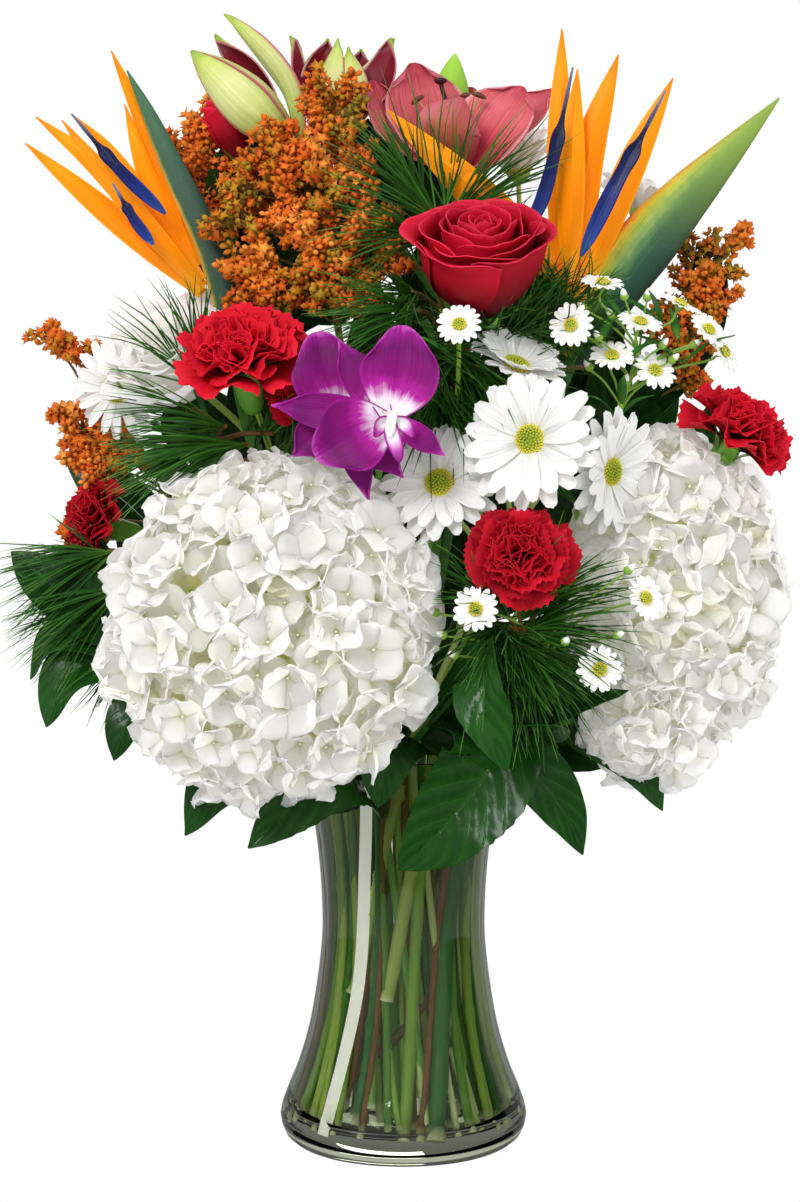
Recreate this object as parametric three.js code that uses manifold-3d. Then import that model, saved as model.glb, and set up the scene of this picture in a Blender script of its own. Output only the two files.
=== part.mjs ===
// A bird of paradise bouquet standing in its clear glass vase.
// Two bird of paradise flowers rise out of hydrangeas, roses, carnations, lilies, an orchid,
// daisies, asters, goldenrod, pine and leaves, and every stem runs down to the vase's floor.
// Millimetres, +Z up, the viewer stands on the -Y side, and the origin is the centre of the foot.
import * as THREE from "three";
import { mergeVertices } from "three/addons/utils/BufferGeometryUtils.js";
import Module from "manifold-3d";

const wasm = await Module();
wasm.setup();
const { Manifold } = wasm;

// ---------------------------------------------------------------- driving dimensions
const GAP = 0.5; // clear space between neighbouring pieces
const HAIR = 0.08; // how far a face may shift when slivers are merged away
const WALL = 3.2; // the vase's glass
const FLOOR = 13; // its thick glass bottom
const VASE_OUTSIDE = [
  // radius, height
  [58, 0], [67, 3], [70.5, 14], [66, 29], [60, 44], [53, 69], [47.5, 105], [46.3, 132], [49, 170], [57, 222],
];
const VASE_TURN = 20; // sides of the round glass
const WAIST_Z = 128; // where the stems are tied closest by the narrow glass
const BUNDLE_HEIGHTS = [9, 45, 85, WAIST_Z, 170, 205, 230];
const BUNDLE_TWIST = 0.35; // radians that the bundle turns over 100 mm
const STEM_SIDES = 5;
const STEM_STEPS = 8;
const BRANCH_STEPS = 3;

const COLOUR = {
  glass: 0xdfe6e2, spathe: 0x3f6f4f, orange: 0xff8a10, blue: 0x2b3f9e, white: 0xf7f6f0, red: 0xd6112e,
  rose: 0xb80f30, lily: 0xb8485a, bud: 0xc9d884, purple: 0x9a1b9f, lip: 0xf3dff0, goldenrod: 0xc8641e,
  pine: 0x2f6b2c, leaf: 0x1f5a24, stem: 0x4f8a34, stamen: 0x4a1518,
};

// ---------------------------------------------------------------- small vector helpers
const V = (x, y, z) => new THREE.Vector3(x, y, z);
const UP = V(0, 0, 1);
const mix = (a, b, t) => a.clone().lerp(b, t);
const GOLDEN = Math.PI * (3 - Math.sqrt(5));

/** A repeatable stream of numbers from 0 to 1. */
function randomStream(seed) {
  let state = seed;
  return () => {
    state = (state * 1664525 + 1013904223) % 4294967296;
    return state / 4294967296;
  };
}

/** The matrix that takes +Z to `along` and +Y as near as it can to `face`, then moves to `at`. */
function frameAt(at, along, face = UP) {
  const z = along.clone().normalize();
  let y = face.clone().addScaledVector(z, -face.dot(z));
  if (y.length() < 1e-3) y = V(0, -1, 0).addScaledVector(z, z.y);
  y.normalize();
  const x = y.clone().cross(z);
  return new THREE.Matrix4().makeBasis(x, y, z).setPosition(at);
}

// ---------------------------------------------------------------- solids
/** A closed three.js geometry as a solid, with its faces turned outwards. */
function solidOf(geometry) {
  const bare = new THREE.BufferGeometry().setAttribute("position", geometry.getAttribute("position"));
  bare.setIndex(geometry.getIndex());
  const merged = mergeVertices(bare, 1e-4);
  const index = merged.index.array;
  const kept = [];
  for (let i = 0; i < index.length; i += 3) {
    const [a, b, c] = [index[i], index[i + 1], index[i + 2]];
    if (a !== b && b !== c && a !== c) kept.push([a, b, c]);
  }
  const build = (triangles) =>
    new Manifold(
      new wasm.Mesh({
        numProp: 3,
        vertProperties: merged.attributes.position.array,
        triVerts: new Uint32Array(triangles.flat()),
      }),
    );
  const made = build(kept);
  return made.volume() >= 0 ? made : build(kept.map(([a, b, c]) => [a, c, b]));
}

const moved = (solid, matrix) => solid.transform(matrix.elements);
const fuse = (solids) => Manifold.union(solids);

/** The skin over a row of rings with as many points each, closed at both ends by a point or flat. */
function skin(rings, startPoint, endPoint) {
  const sides = rings[0].length;
  const points = rings.flat();
  const index = [];
  for (let r = 0; r + 1 < rings.length; r++)
    for (let s = 0; s < sides; s++) {
      const a = r * sides + s;
      const b = r * sides + ((s + 1) % sides);
      index.push(a, b, a + sides, b, b + sides, a + sides);
    }
  const close = (first, point, outward) => {
    const tip = points.length;
    if (point) points.push(point);
    for (let s = 0; s < (point ? sides : sides - 2); s++) {
      const [p, q, t] = point
        ? [first + s, first + ((s + 1) % sides), tip]
        : [first + s + 1, first + s + 2, first];
      index.push(...(outward ? [p, q, t] : [q, p, t]));
    }
  };
  close(0, startPoint, false);
  close((rings.length - 1) * sides, endPoint, true);
  const geometry = new THREE.BufferGeometry().setFromPoints(points);
  geometry.setIndex(index);
  return solidOf(geometry);
}

/** A round stalk along a curve. */
function stalk(points, radius, steps = STEM_STEPS, sides = STEM_SIDES) {
  const circle = [];
  for (let i = 0; i < sides; i++) {
    const a = (2 * Math.PI * i) / sides;
    circle.push(new THREE.Vector2(radius * Math.cos(a), radius * Math.sin(a)));
  }
  const path = new THREE.CatmullRomCurve3(points);
  return solidOf(new THREE.ExtrudeGeometry(new THREE.Shape(circle), { steps, extrudePath: path }));
}

// Outlines of blades: share of the length, share of the half width.
const OVAL = [[0.12, 0.45], [0.5, 1], [0.85, 0.7]];
const LANCE = [[0.08, 0.6], [0.35, 1], [0.7, 0.6]];
const LEAF = [[0.06, 0.35], [0.28, 0.95], [0.55, 1], [0.82, 0.55]];
const FAN = [[0.2, 0.4], [0.88, 0.95]];
const ROUND = [[0.1, 0.3], [0.42, 0.85], [0.68, 1], [0.92, 0.62]];
const SERRATED = [
  [0.05, 0.3], [0.16, 0.76], [0.2, 0.66], [0.32, 1], [0.36, 0.88], [0.48, 1.05], [0.52, 0.9],
  [0.64, 0.9], [0.68, 0.74], [0.8, 0.62], [0.84, 0.48], [0.93, 0.26],
];

/** A petal or leaf: it starts at the origin, runs up +Z, faces +Y and curls towards its face. */
function blade({ length, width, thick = 1, bend = 0, cup = 0, outline = OVAL }, grow = 0) {
  const at = (u, normalShift = 0, sideShift = 0) => {
    const turned = bend * u;
    const centre = bend
      ? V(0, (length / bend) * (1 - Math.cos(turned)), (length / bend) * Math.sin(turned))
      : V(0, 0, length * u);
    return centre.add(V(sideShift, Math.cos(turned) * normalShift, -Math.sin(turned) * normalShift));
  };
  const rings = outline.map(([u, share]) => {
    const half = (width / 2) * share + grow;
    const depth = thick / 2 + grow;
    return [at(u, cup * half, -half), at(u, -depth), at(u, cup * half, half), at(u, depth)];
  });
  return skin(rings, at(0), at(1));
}

/** A petal or leaf along a path of points, `width` across at its widest, with its upper side to `face`. */
function ribbon(path, width, face, { thick = 1.4, cup = 0.25, outline = OVAL } = {}) {
  const curve = new THREE.CatmullRomCurve3(path);
  const rings = outline.map(([u, share]) => {
    const along = curve.getTangent(u);
    const side = along.clone().cross(face).normalize();
    const out = side.clone().cross(along);
    const half = (width / 2) * share;
    const place = (across, up) => curve.getPoint(u).addScaledVector(side, across).addScaledVector(out, up);
    return [place(-half, cup * half), place(0, -thick / 2), place(half, cup * half), place(0, thick / 2)];
  });
  return skin(rings, curve.getPoint(0), curve.getPoint(1));
}

/** Blades set round +Z, leaning out by `lean` radians. */
function whorl(count, lean, phase, spec, lift = 0) {
  return Array.from({ length: count }, (_, i) => {
    const a = phase + (2 * Math.PI * i) / count;
    const out = V(Math.cos(a), Math.sin(a), 0);
    const along = out.clone().multiplyScalar(Math.sin(lean)).addScaledVector(UP, Math.cos(lean));
    const face = out.clone().multiplyScalar(-Math.cos(lean)).addScaledVector(UP, Math.sin(lean));
    return moved(blade(spec), frameAt(V(0, 0, lift), along, face));
  });
}

/** A flat star of lobes: front centre, lobed rim, and a point behind that roots it. */
function star({ lobes, radius, notch, blunt = 0, rim = 0, wave = 0, front = 0, back }) {
  const ring = [];
  for (let i = 0; i < lobes; i++) {
    const a = (2 * Math.PI * i) / lobes;
    const step = Math.PI / lobes;
    const point = (angle, r, z) => V(r * Math.cos(angle), r * Math.sin(angle), z);
    if (blunt) {
      ring.push(point(a - blunt * step, radius, rim + wave), point(a + blunt * step, radius, rim + wave));
    }
    else ring.push(point(a, radius, rim + wave));
    ring.push(point(a + step, radius * notch, rim - wave));
  }
  return skin([ring], V(0, 0, -back), V(0, 0, front));
}

const ball = (rx, ry, rz, around = 10, down = 6) =>
  solidOf(new THREE.SphereGeometry(1, around, down).scale(rx, ry, rz));
const knob = (r, at) => solidOf(new THREE.OctahedronGeometry(r).translate(at.x, at.y, at.z));

// ---------------------------------------------------------------- flower heads, each facing +Z
/** A mophead: four-petalled florets all over a flattened ball, open behind where the stem enters. */
function hydrangeaHead({ rx, ry, depth, florets, floret }) {
  const solids = [ball(rx * 0.86, ry * 0.86, depth * 0.84, 9, 6)];
  const random = randomStream(florets);
  for (let i = 0; i < florets; i++) {
    const z = 1 - (1.66 * (i + 0.5)) / florets;
    const r = Math.sqrt(Math.max(0, 1 - z * z));
    const a = GOLDEN * i;
    const on = V(rx * r * Math.cos(a), ry * r * Math.sin(a), depth * z);
    const out = V(on.x / rx ** 2, on.y / ry ** 2, on.z / depth ** 2).normalize();
    const spin = V(Math.cos(random() * 6.28), Math.sin(random() * 6.28), 0.3);
    const size = floret * (0.9 + 0.25 * random());
    const shape = star({ lobes: 4, radius: size, notch: 0.5, rim: 0.2 * size, front: 0.5, back: 0.6 * size });
    const tilted = out.clone().add(V(random() - 0.5, random() - 0.5, random() - 0.5).multiplyScalar(0.7));
    solids.push(moved(shape, frameAt(on.addScaledVector(out, -3), tilted, spin)));
  }
  return fuse(solids);
}

/** A rose: cupped petals wound round a bud, opening outwards layer by layer. */
function roseHead({ radius, height, layers }) {
  const solids = [closedBud(height * 0.82, radius * 0.48).translate([0, 0, -height * 0.45])];
  layers.forEach(([count, lean, wide, tall], i) => {
    const spec = {
      length: height * tall, width: radius * wide, bend: -0.35, cup: 0.42, thick: 1.6, outline: FAN,
    };
    solids.push(...whorl(count, lean, i * 1.1, spec, -height * 0.45));
  });
  return fuse(solids);
}

/** A carnation: fluted, toothed frills stacked in one tuft. */
function carnationHead({ radius, reach }) {
  const frills = [[1, 0.14, 9], [0.8, 0.5, 7], [0.42, 0.76, 5]];
  return fuse(
    frills.map(([share, lift, teeth], i) =>
      moved(
        star({
          lobes: teeth, radius: radius * share, notch: 0.84, rim: radius * lift, wave: radius * 0.06,
          front: radius * (lift - 0.22), back: reach,
        }),
        new THREE.Matrix4().makeRotationZ(i * 0.7),
      ),
    ),
  );
}

/** A daisy: blunt white rays in a ring, with the domed disc in the middle. */
function daisyHead({ radius, rays, reach }) {
  const ring = star({
    lobes: rays, radius, notch: 0.36, blunt: 0.62, front: radius * 0.07, back: reach,
  });
  const disc = ball(radius * 0.25, radius * 0.25, radius * 0.16, 6, 3).rotate([0, 0, 7]);
  return fuse([ring, disc.translate([0, 0, radius * 0.01])]);
}

/** A closed bud from its stalk at the origin up to its tip on +Z. */
function closedBud(length, radius, sides = 6) {
  const rings = [[0.04, 0.4], [0.28, 0.95], [0.55, 1], [0.85, 0.5]].map(([u, share]) =>
    Array.from({ length: sides }, (_, i) => {
      const a = (2 * Math.PI * i) / sides;
      return V(radius * share * Math.cos(a), radius * share * Math.sin(a), length * u);
    }),
  );
  return skin(rings, V(0, 0, 0), V(0, 0, length));
}

// ---------------------------------------------------------------- the nodes and how they keep clear
const group = new THREE.Group();
const placed = [];

const boxesMeet = (a, b) => [0, 1, 2].every((k) => a.min[k] <= b.max[k] && b.min[k] <= a.max[k]);
const meets = (solid, other) =>
  boxesMeet(solid.boundingBox(), other.boundingBox()) && !solid.intersect(other).isEmpty();

/** The largest single body of a solid, with any hollow inside it filled. */
function mainBody(solid) {
  const bodies = solid.decompose().filter((b) => b.volume() > 0);
  return bodies.reduce((most, b) => (b.volume() > most.volume() ? b : most));
}

/** Cuts a solid clear of everything placed before it, except what `skip` names. */
function cutClear(solid, skip = []) {
  let made = solid;
  for (const other of placed)
    if (!skip.includes(other.name) && meets(made, other.keep)) made = made.subtract(other.keep);
  return mainBody(made);
}

/** True where a solid stands clear of everything placed before it. */
const standsClear = (fat, skip = []) => !placed.some((p) => !skip.includes(p.name) && meets(fat, p.keep));

/** A convex envelope a little larger than the solid, for others to keep out of. */
function envelope(solid) {
  const hull = solid.hull();
  const box = hull.boundingBox();
  const centre = [0, 1, 2].map((k) => (box.min[k] + box.max[k]) / 2);
  const half = [0, 1, 2].map((k) => (box.max[k] - box.min[k]) / 2);
  const scale = half.map((h) => 1 + (2 * GAP) / h);
  return hull.translate(centre.map((c) => -c)).scale(scale).translate(centre);
}

function addNode(name, whole, colour, keep, roughness = 0.6) {
  const solid = mainBody(whole.simplify(HAIR));
  const mesh = solid.getMesh();
  const geometry = new THREE.BufferGeometry()
    .setAttribute("position", new THREE.BufferAttribute(new Float32Array(mesh.vertProperties), 3))
    .setIndex(new THREE.BufferAttribute(new Uint32Array(mesh.triVerts), 1));
  const finish = new THREE.MeshStandardMaterial({ color: colour, roughness, metalness: 0 });
  const made = new THREE.Mesh(geometry, finish);
  made.name = name;
  group.add(made);
  placed.push({ name, solid, keep: keep || envelope(solid) });
}

// ---------------------------------------------------------------- the vase
/** The outside radius of the vase at a height. */
function vaseRadius(z) {
  const i = Math.max(1, VASE_OUTSIDE.findIndex(([, h]) => h >= z));
  const [r0, z0] = VASE_OUTSIDE[i - 1] ?? VASE_OUTSIDE.at(-2);
  const [r1, z1] = VASE_OUTSIDE[i] ?? VASE_OUTSIDE.at(-1);
  return r0 + ((r1 - r0) * (z - z0)) / (z1 - z0);
}

function latheSolid(profile) {
  const points = profile.map(([r, z]) => new THREE.Vector2(r, z));
  return solidOf(new THREE.LatheGeometry(points, VASE_TURN).rotateX(Math.PI / 2));
}

function addVase() {
  const inside = VASE_OUTSIDE.filter(([, z]) => z > 20).map(([r, z]) => [r - WALL, z]);
  const rim = [VASE_OUTSIDE.at(-1)[0] - WALL / 2, VASE_OUTSIDE.at(-1)[1] + 1.2];
  const glass = latheSolid([
    [0, 0], ...VASE_OUTSIDE, rim, ...inside.reverse(), [inside.at(-1)[0] - 3, FLOOR], [0, FLOOR],
  ]);
  const outside = VASE_OUTSIDE.map(([r, z]) => [r + GAP, z]);
  const lid = [[rim[0] + 2, rim[1] + GAP], [0, rim[1] + GAP]];
  const filled = latheSolid([[0, -1], [outside[0][0], -1], ...outside, ...lid]);
  addNode("vase", glass, COLOUR.glass, filled, 0.05);
}

// ---------------------------------------------------------------- the flowers and where they sit
// `at` is the middle of the head, `facing` the way it looks, `behind` how far behind the middle
// the stem ends, and `stem` the stem's radius.
const STEMMED = {
  bird_left: { at: V(-98, -12, 462), facing: V(-0.12, 0, 0.99), stem: 5.5, behind: 0 },
  bird_right: { at: V(98, -8, 450), facing: V(0.45, 0, 0.9), stem: 6, behind: 0 },
  hydrangea_left: {
    at: V(-72, -98, 301), facing: V(-0.25, -0.9, 0.2),
    stem: 4.5, behind: 40, room: [76, 80, 48],
  },
  hydrangea_right: {
    at: V(150, -34, 306), facing: V(0.7, -0.6, 0.1),
    stem: 4.5, behind: 40, room: [52, 82, 46],
  },
  rose: {
    at: V(41, -68, 488), facing: V(0, -0.5, 0.86),
    stem: 3.6, behind: 25, calyx: [9, 12], room: [34, 34, 24],
  },
  rosebud: { at: V(-91, 22, 556), facing: V(-0.42, -0.1, 0.9), stem: 2.4, behind: -2, calyx: [6, 8] },
  white_rose: {
    at: V(-134, -2, 436), facing: V(-0.75, -0.5, 0.3),
    stem: 3.2, behind: 20, calyx: [8, 10], room: [28, 28, 20],
  },
  carnation_front: {
    at: V(-84, -84, 440), facing: V(-0.2, -0.62, 0.75),
    stem: 2.5, behind: 26, calyx: [8, 26], room: [30, 30, 14],
  },
  carnation_behind: {
    at: V(-48, -62, 424), facing: V(0.3, -0.75, 0.45),
    stem: 2.3, behind: 22, calyx: [7, 20], room: [23, 23, 14],
  },
  carnation_centre: {
    at: V(57, -114, 342), facing: V(0.08, -0.95, 0.3),
    stem: 2.5, behind: 22, calyx: [7, 22], room: [26, 26, 14],
  },
  carnation_right: {
    at: V(180, -35, 398), facing: V(0.55, -0.35, 0.75),
    stem: 2.4, behind: 24, calyx: [8, 24], room: [28, 28, 14],
  },
  carnation_far: {
    at: V(-168, 2, 350), facing: V(-0.9, -0.3, 0.25),
    stem: 2.4, behind: 24, calyx: [7, 22], room: [23, 23, 14],
  },
  lily: { at: V(33, 18, 542), facing: V(0.05, -0.1, 0.99), stem: 4.4, behind: 2 },
  orchid: { at: V(-10, -124, 417), facing: V(0.08, -0.97, 0.12), stem: 2.2, behind: 5 },
  daisy_front: { at: V(66, -110, 402), facing: V(-0.35, -0.9, 0.2), stem: 2.6, behind: 7 },
  daisy_back: { at: V(66, 45, 551), facing: V(-0.15, 0.15, 0.95), stem: 2.5, behind: 7 },
  aster_right: { at: V(118, -46, 420), facing: V(0.2, -0.2, 0.95), stem: 1.9, behind: 0 },
  aster_left: { at: V(29, -96, 462), facing: V(-0.1, -0.8, 0.5), stem: 1.3, behind: 4 },
  aster_low: { at: V(92, -96, 275), facing: V(0.4, -0.8, 0.3), stem: 1.7, behind: 0 },
  goldenrod_centre: { at: V(-45, 2, 590), facing: V(0.05, -0.05, 0.99), stem: 2.2, behind: 0 },
  goldenrod_top: { at: V(-118, 34, 578), facing: V(-0.1, 0, 0.98), stem: 1.8, behind: 0 },
  goldenrod_left: { at: V(-178, 26, 420), facing: V(-0.75, 0, 0.65), stem: 2, behind: 0 },
  goldenrod_right: { at: V(176, 26, 514), facing: V(0.35, 0, 0.93), stem: 2, behind: 0 },
  pine_left: { at: V(-116, -46, 436), facing: V(-0.3, -0.2, 0.93), stem: 2, behind: 0 },
  pine_low_left: { at: V(-166, -24, 336), facing: V(-0.35, -0.1, 0.93), stem: 2, behind: 0 },
  pine_centre: { at: V(22, -30, 524), facing: V(0, -0.1, 0.99), stem: 2, behind: 0 },
  pine_low: { at: V(62, -100, 300), facing: V(0.3, -0.8, 0.4), stem: 2, behind: 0 },
  leaves_left: { at: V(-150, -40, 292), facing: V(-0.9, -0.1, 0.3), stem: 2.2, behind: 0 },
  leaves_right: { at: V(92, -52, 248), facing: V(0.85, -0.3, 0.1), stem: 2.2, behind: 0 },
  leaves_front: { at: V(16, -66, 252), facing: V(0, -0.9, 0.3), stem: 2.4, behind: 0 },
  leaves_back: { at: V(-10, 92, 330), facing: V(0, 0.75, 0.6), stem: 2.6, behind: 0 },
};

// Heads on side branches: the stem they share, how far up it they leave, and their own place.
const BRANCHED = {
  daisy_middle: {
    on: "daisy_front", from: 0.74, at: V(19, -88, 378), facing: V(-0.15, -0.85, 0.45),
    stem: 1.8, behind: 6,
  },
  daisy_side: {
    on: "daisy_front", from: 0.78, at: V(110, -74, 384), facing: V(0.7, -0.65, -0.05),
    stem: 1.8, behind: 7,
  },
  daisy_top: {
    on: "daisy_front", from: 0.82, at: V(60, -66, 440), facing: V(0.3, -0.4, 0.85),
    stem: 1.7, behind: 5,
  },
  daisy_far: {
    on: "daisy_back", from: 0.8, at: V(138, 62, 528), facing: V(0.45, 0.25, 0.8),
    stem: 1.8, behind: 7,
  },
  lily_left: { on: "lily", from: 0.8, at: V(-58, 10, 557), facing: V(-0.68, 0, 0.73), stem: 3, behind: 0 },
  lily_half: { on: "lily", from: 0.86, at: V(-36, 28, 560), facing: V(0, 0, 1), stem: 3, behind: 0 },
  lily_bud: { on: "lily", from: 0.9, at: V(24, 44, 566), facing: V(0.1, 0, 0.99), stem: 2.6, behind: 0 },
  orchid_back: {
    on: "orchid", from: 0.88, at: V(-33, -105, 414), facing: V(-0.25, -0.9, 0.1),
    stem: 1.6, behind: 3,
  },
};

const baseOf = ({ at, facing, behind }) => at.clone().addScaledVector(facing.clone().normalize(), -behind);

/** Every stem's place in the narrow waist: it starts on its flower's side and is pushed apart. */
function waistSlots() {
  const room = (vaseRadius(WAIST_Z) - WALL) * Math.cos(Math.PI / VASE_TURN) - 2.5;
  const slots = Object.values(STEMMED).map((flower) => {
    const base = baseOf(flower);
    return { x: base.x * 0.2, y: base.y * 0.3, r: flower.stem };
  });
  for (let round = 0; round < 400; round++) {
    for (const [i, a] of slots.entries())
      for (const b of slots.slice(i + 1)) {
        const [dx, dy] = [b.x - a.x || 0.01, b.y - a.y];
        const apart = Math.hypot(dx, dy);
        const push = (a.r + b.r + 2.2 - apart) / 2;
        if (push <= 0) continue;
        a.x -= (dx / apart) * push;
        a.y -= (dy / apart) * push;
        b.x += (dx / apart) * push;
        b.y += (dy / apart) * push;
      }
    for (const s of slots) {
      const keepIn = Math.min(1, (room - s.r - 1) / Math.hypot(s.x, s.y));
      s.x *= keepIn;
      s.y *= keepIn;
    }
  }
  return slots;
}

/** Where the stem of a slot passes at a height: the bundle turns and widens with the glass. */
function bundlePoint(slot, z) {
  const spread = (vaseRadius(Math.min(z, 222)) - WALL - 4) / (vaseRadius(WAIST_Z) - WALL - 4);
  const turn = (BUNDLE_TWIST * (WAIST_Z - z)) / 100;
  return V(
    spread * (slot.x * Math.cos(turn) - slot.y * Math.sin(turn)),
    spread * (slot.x * Math.sin(turn) + slot.y * Math.cos(turn)),
    z,
  );
}

const SWAYS = 70; // how many ways round a neighbour are tried
const END_GAP = 0.4; // between the end of a stem and its head
const stems = {};

// The middles of the big heads, which the other stems go round where they can.
const rooms = Object.entries(STEMMED)
  .filter(([, { room }]) => room)
  .map(([name, { at, facing, room }]) => ({ name, solid: moved(ball(...room, 10, 6), frameAt(at, facing)) }));

/** A stalk that ends at a head, swayed aside until it stands clear, with its calyx if it has one. */
function routeStalk(name, start, flower, skip) {
  const facing = flower.facing.clone().normalize();
  const end = baseOf(flower);
  const from = start.at(-1);
  const approach = end.clone().addScaledVector(facing, -Math.min(30, 0.3 * end.distanceTo(from)));
  const calyxRoot = end.clone().addScaledVector(facing, -(flower.calyx?.[1] ?? 0));
  const [wide] = flower.calyx ?? [0];
  const cup = (grow) => {
    const outline = [[0.02, 0.5], [0.4, 1], [0.985, 0.8]];
    const rings = outline.map(([u, share]) =>
      Array.from({ length: 6 }, (_, i) => {
        const a = (2 * Math.PI * i) / 6;
        const r = wide * share + grow;
        return V(r * Math.cos(a), r * Math.sin(a), flower.calyx[1] * u + (u > 0.9 ? grow : 0));
      }),
    );
    return moved(skin(rings), frameAt(calyxRoot, facing));
  };
  const cups = (grow) => (flower.calyx ? [cup(grow)] : []);
  for (let tries = 0; tries < 2 * SWAYS; tries++) {
    const k = tries % SWAYS;
    const throughHeads = tries >= SWAYS;
    const sway = V(Math.cos(GOLDEN * k * 4), Math.sin(GOLDEN * k * 4), 0).multiplyScalar(1.3 * k);
    const bent = mix(from, approach, 0.5).add(sway);
    const points = [...start, bent, approach.clone().addScaledVector(sway, 0.25), end];
    const steps = flower.on ? BRANCH_STEPS : STEM_STEPS;
    const fat = fuse([stalk(points, flower.stem + GAP, steps), ...cups(GAP)]);
    if (!standsClear(fat, ["vase", ...skip])) continue;
    if (!throughHeads && rooms.some((room) => room.name !== name && meets(fat, room.solid))) continue;
    const stop = end.dot(facing) - END_GAP;
    const shaft = fuse([stalk(points, flower.stem, steps), ...cups(0)])
      .trimByPlane([0, 0, 1], FLOOR + GAP)
      .trimByPlane([-facing.x, -facing.y, -facing.z], -stop);
    return { shaft: mainBody(shaft), fat, points, curve: new THREE.CatmullRomCurve3(points), end, facing };
  }
  throw new Error("no clear way for the stem of " + name);
}

/** Runs each stem from the vase's floor to its flower, and then the side branches. */
function routeStems() {
  const slots = waistSlots();
  Object.entries(STEMMED).forEach(([name, flower], i) => {
    const start = BUNDLE_HEIGHTS.map((z) => bundlePoint(slots[i], z));
    const made = routeStalk(name, start, flower, []);
    stems[name] = made;
    placed.push({ name: "way of " + name, solid: made.shaft, keep: made.fat });
    if (BIRDS[name]) addBird(name, BIRDS[name]);
  });
  for (const [name, flower] of Object.entries(BRANCHED)) {
    const main = stems[flower.on];
    const made = routeStalk(name, [main.curve.getPointAt(flower.from)], flower, ["way of " + flower.on]);
    main.shaft = fuse([main.shaft, made.shaft]);
    main.fat = fuse([main.fat, made.fat]);
    placed.find((p) => p.name === "way of " + flower.on).keep = main.fat;
  }
}

/** Turns a stem's reserved way into its node, with what grows on it. */
function addStem(name, node = name + "_stem", extras = [], colour = COLOUR.stem) {
  const way = "way of " + name;
  const { shaft, fat } = stems[name];
  const grown = extras.length ? mainBody(fuse([shaft, ...extras])) : shaft;
  placed.splice(placed.findIndex((p) => p.name === way), 1);
  addNode(node, grown, colour, extras.length ? fuse([fat, fattened(fuse(extras))]) : fat);
}

// ---------------------------------------------------------------- the bird of paradise
// Each bloom is drawn from the points where its parts start, bow and end.
const BIRDS = {
  bird_left: {
    beak: [
      V(-97, -12, 454), V(-99, -13, 474), V(-106, -14, 502), V(-115, -15, 524), V(-128, -15, 551),
      V(-141, -15, 580),
    ],
    girth: [5.8, 7.5, 9, 9.4, 7.6, 4.6],
    tip: V(-152, -15, 601),
    root: V(-117, -18, 490),
    sepals: [
      [V(-166, -20, 528), V(-208, -19, 562), 15], [V(-166, -14, 544), V(-203, -11, 577), 14],
      [V(-153, -21, 540), V(-190, -22, 575), 13], [V(-140, -13, 540), V(-154, -11, 583), 12],
      [V(-137, -10, 558), V(-161, -13, 612), 11],
    ],
    tongues: [
      [V(-146, -26, 532), V(-179, -27, 573), 11], [V(-142, -28, 516), V(-155, -29, 533), 8],
    ],
    tongueRoot: V(-131, -23, 508),
  },
  bird_right: {
    beak: [V(94, -8, 442), V(106, -8, 464), V(127, -8, 498), V(152, -8, 528), V(180, -7, 558)],
    girth: [6.5, 13.5, 17, 13.5, 7.5],
    tip: V(208, -6, 588),
    root: V(106, -12, 488),
    sepals: [
      [V(88, -18, 560), V(87, -12, 624), 17], [V(93, -26, 552), V(95, -20, 601), 13],
      [V(102, -16, 556), V(118, -12, 610), 17], [V(124, -18, 548), V(148, -14, 597), 14],
      [V(38, -24, 537), V(-9, -18, 579), 20],
    ],
    tongues: [
      [V(80, -30, 552), V(89, -28, 597), 11], [V(114, -28, 540), V(139, -24, 586), 13],
    ],
    tongueRoot: V(99, -19, 500),
  },
};
const VIEWER = V(0, -1, 0.05);
const SEPAL = [[0.05, 0.5], [0.3, 0.95], [0.5, 1], [0.78, 0.6]];
const TONGUE = [[0.06, 0.4], [0.35, 1], [0.66, 0.9], [0.72, 0.35]];
const BEAK_SECTION = [[1, 0], [0.3, 0.52], [-0.85, 0.3], [-1, 0], [-0.85, -0.3], [0.3, -0.52]];

/** The beak: a folded boat of a leaf with its keel on one side and its seam on the other. */
function beakSolid({ beak, girth, tip }) {
  const curve = new THREE.CatmullRomCurve3([...beak, tip]);
  const rings = girth.map((half, i) => {
    const keel = curve.getTangent(i / girth.length).cross(VIEWER).normalize();
    return BEAK_SECTION.map(([a, b]) =>
      beak[i].clone().addScaledVector(keel, half * a).addScaledVector(VIEWER, half * b));
  });
  return skin(rings, undefined, tip);
}

function addBird(name, bird) {
  addStem(name, name + "_spathe", [cutClear(beakSolid(bird), ["way of " + name])], COLOUR.spathe);
  const sepals = fuse([
    ball(11, 6, 11, 8, 5).translate(bird.root.toArray()),
    ...bird.sepals.map(([bow, tip, width]) =>
      ribbon([bird.root, bow, tip], width, VIEWER, { outline: SEPAL })),
  ]);
  addNode(name + "_sepals", cutClear(sepals), COLOUR.orange, fattened(sepals));
  const tongue = fuse([
    ball(6, 4.5, 6, 6, 4).translate(bird.tongueRoot.toArray()),
    ...bird.tongues.map(([bow, tip, width]) =>
      ribbon([bird.tongueRoot, bow, tip], width, VIEWER, { outline: TONGUE, thick: 4.5, cup: 0.1 })),
  ]);
  addNode(name + "_tongue", cutClear(tongue), COLOUR.blue, fattened(tongue));
}

/** A thin, open form with the gap added all over: itself set out six ways. */
function fattened(solid) {
  const g = 1.7 * GAP;
  const steps = [[g, 0, 0], [-g, 0, 0], [0, g, 0], [0, -g, 0], [0, 0, g], [0, 0, -g]];
  return fuse([solid, ...steps.map((step) => solid.translate(step))]);
}

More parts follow.
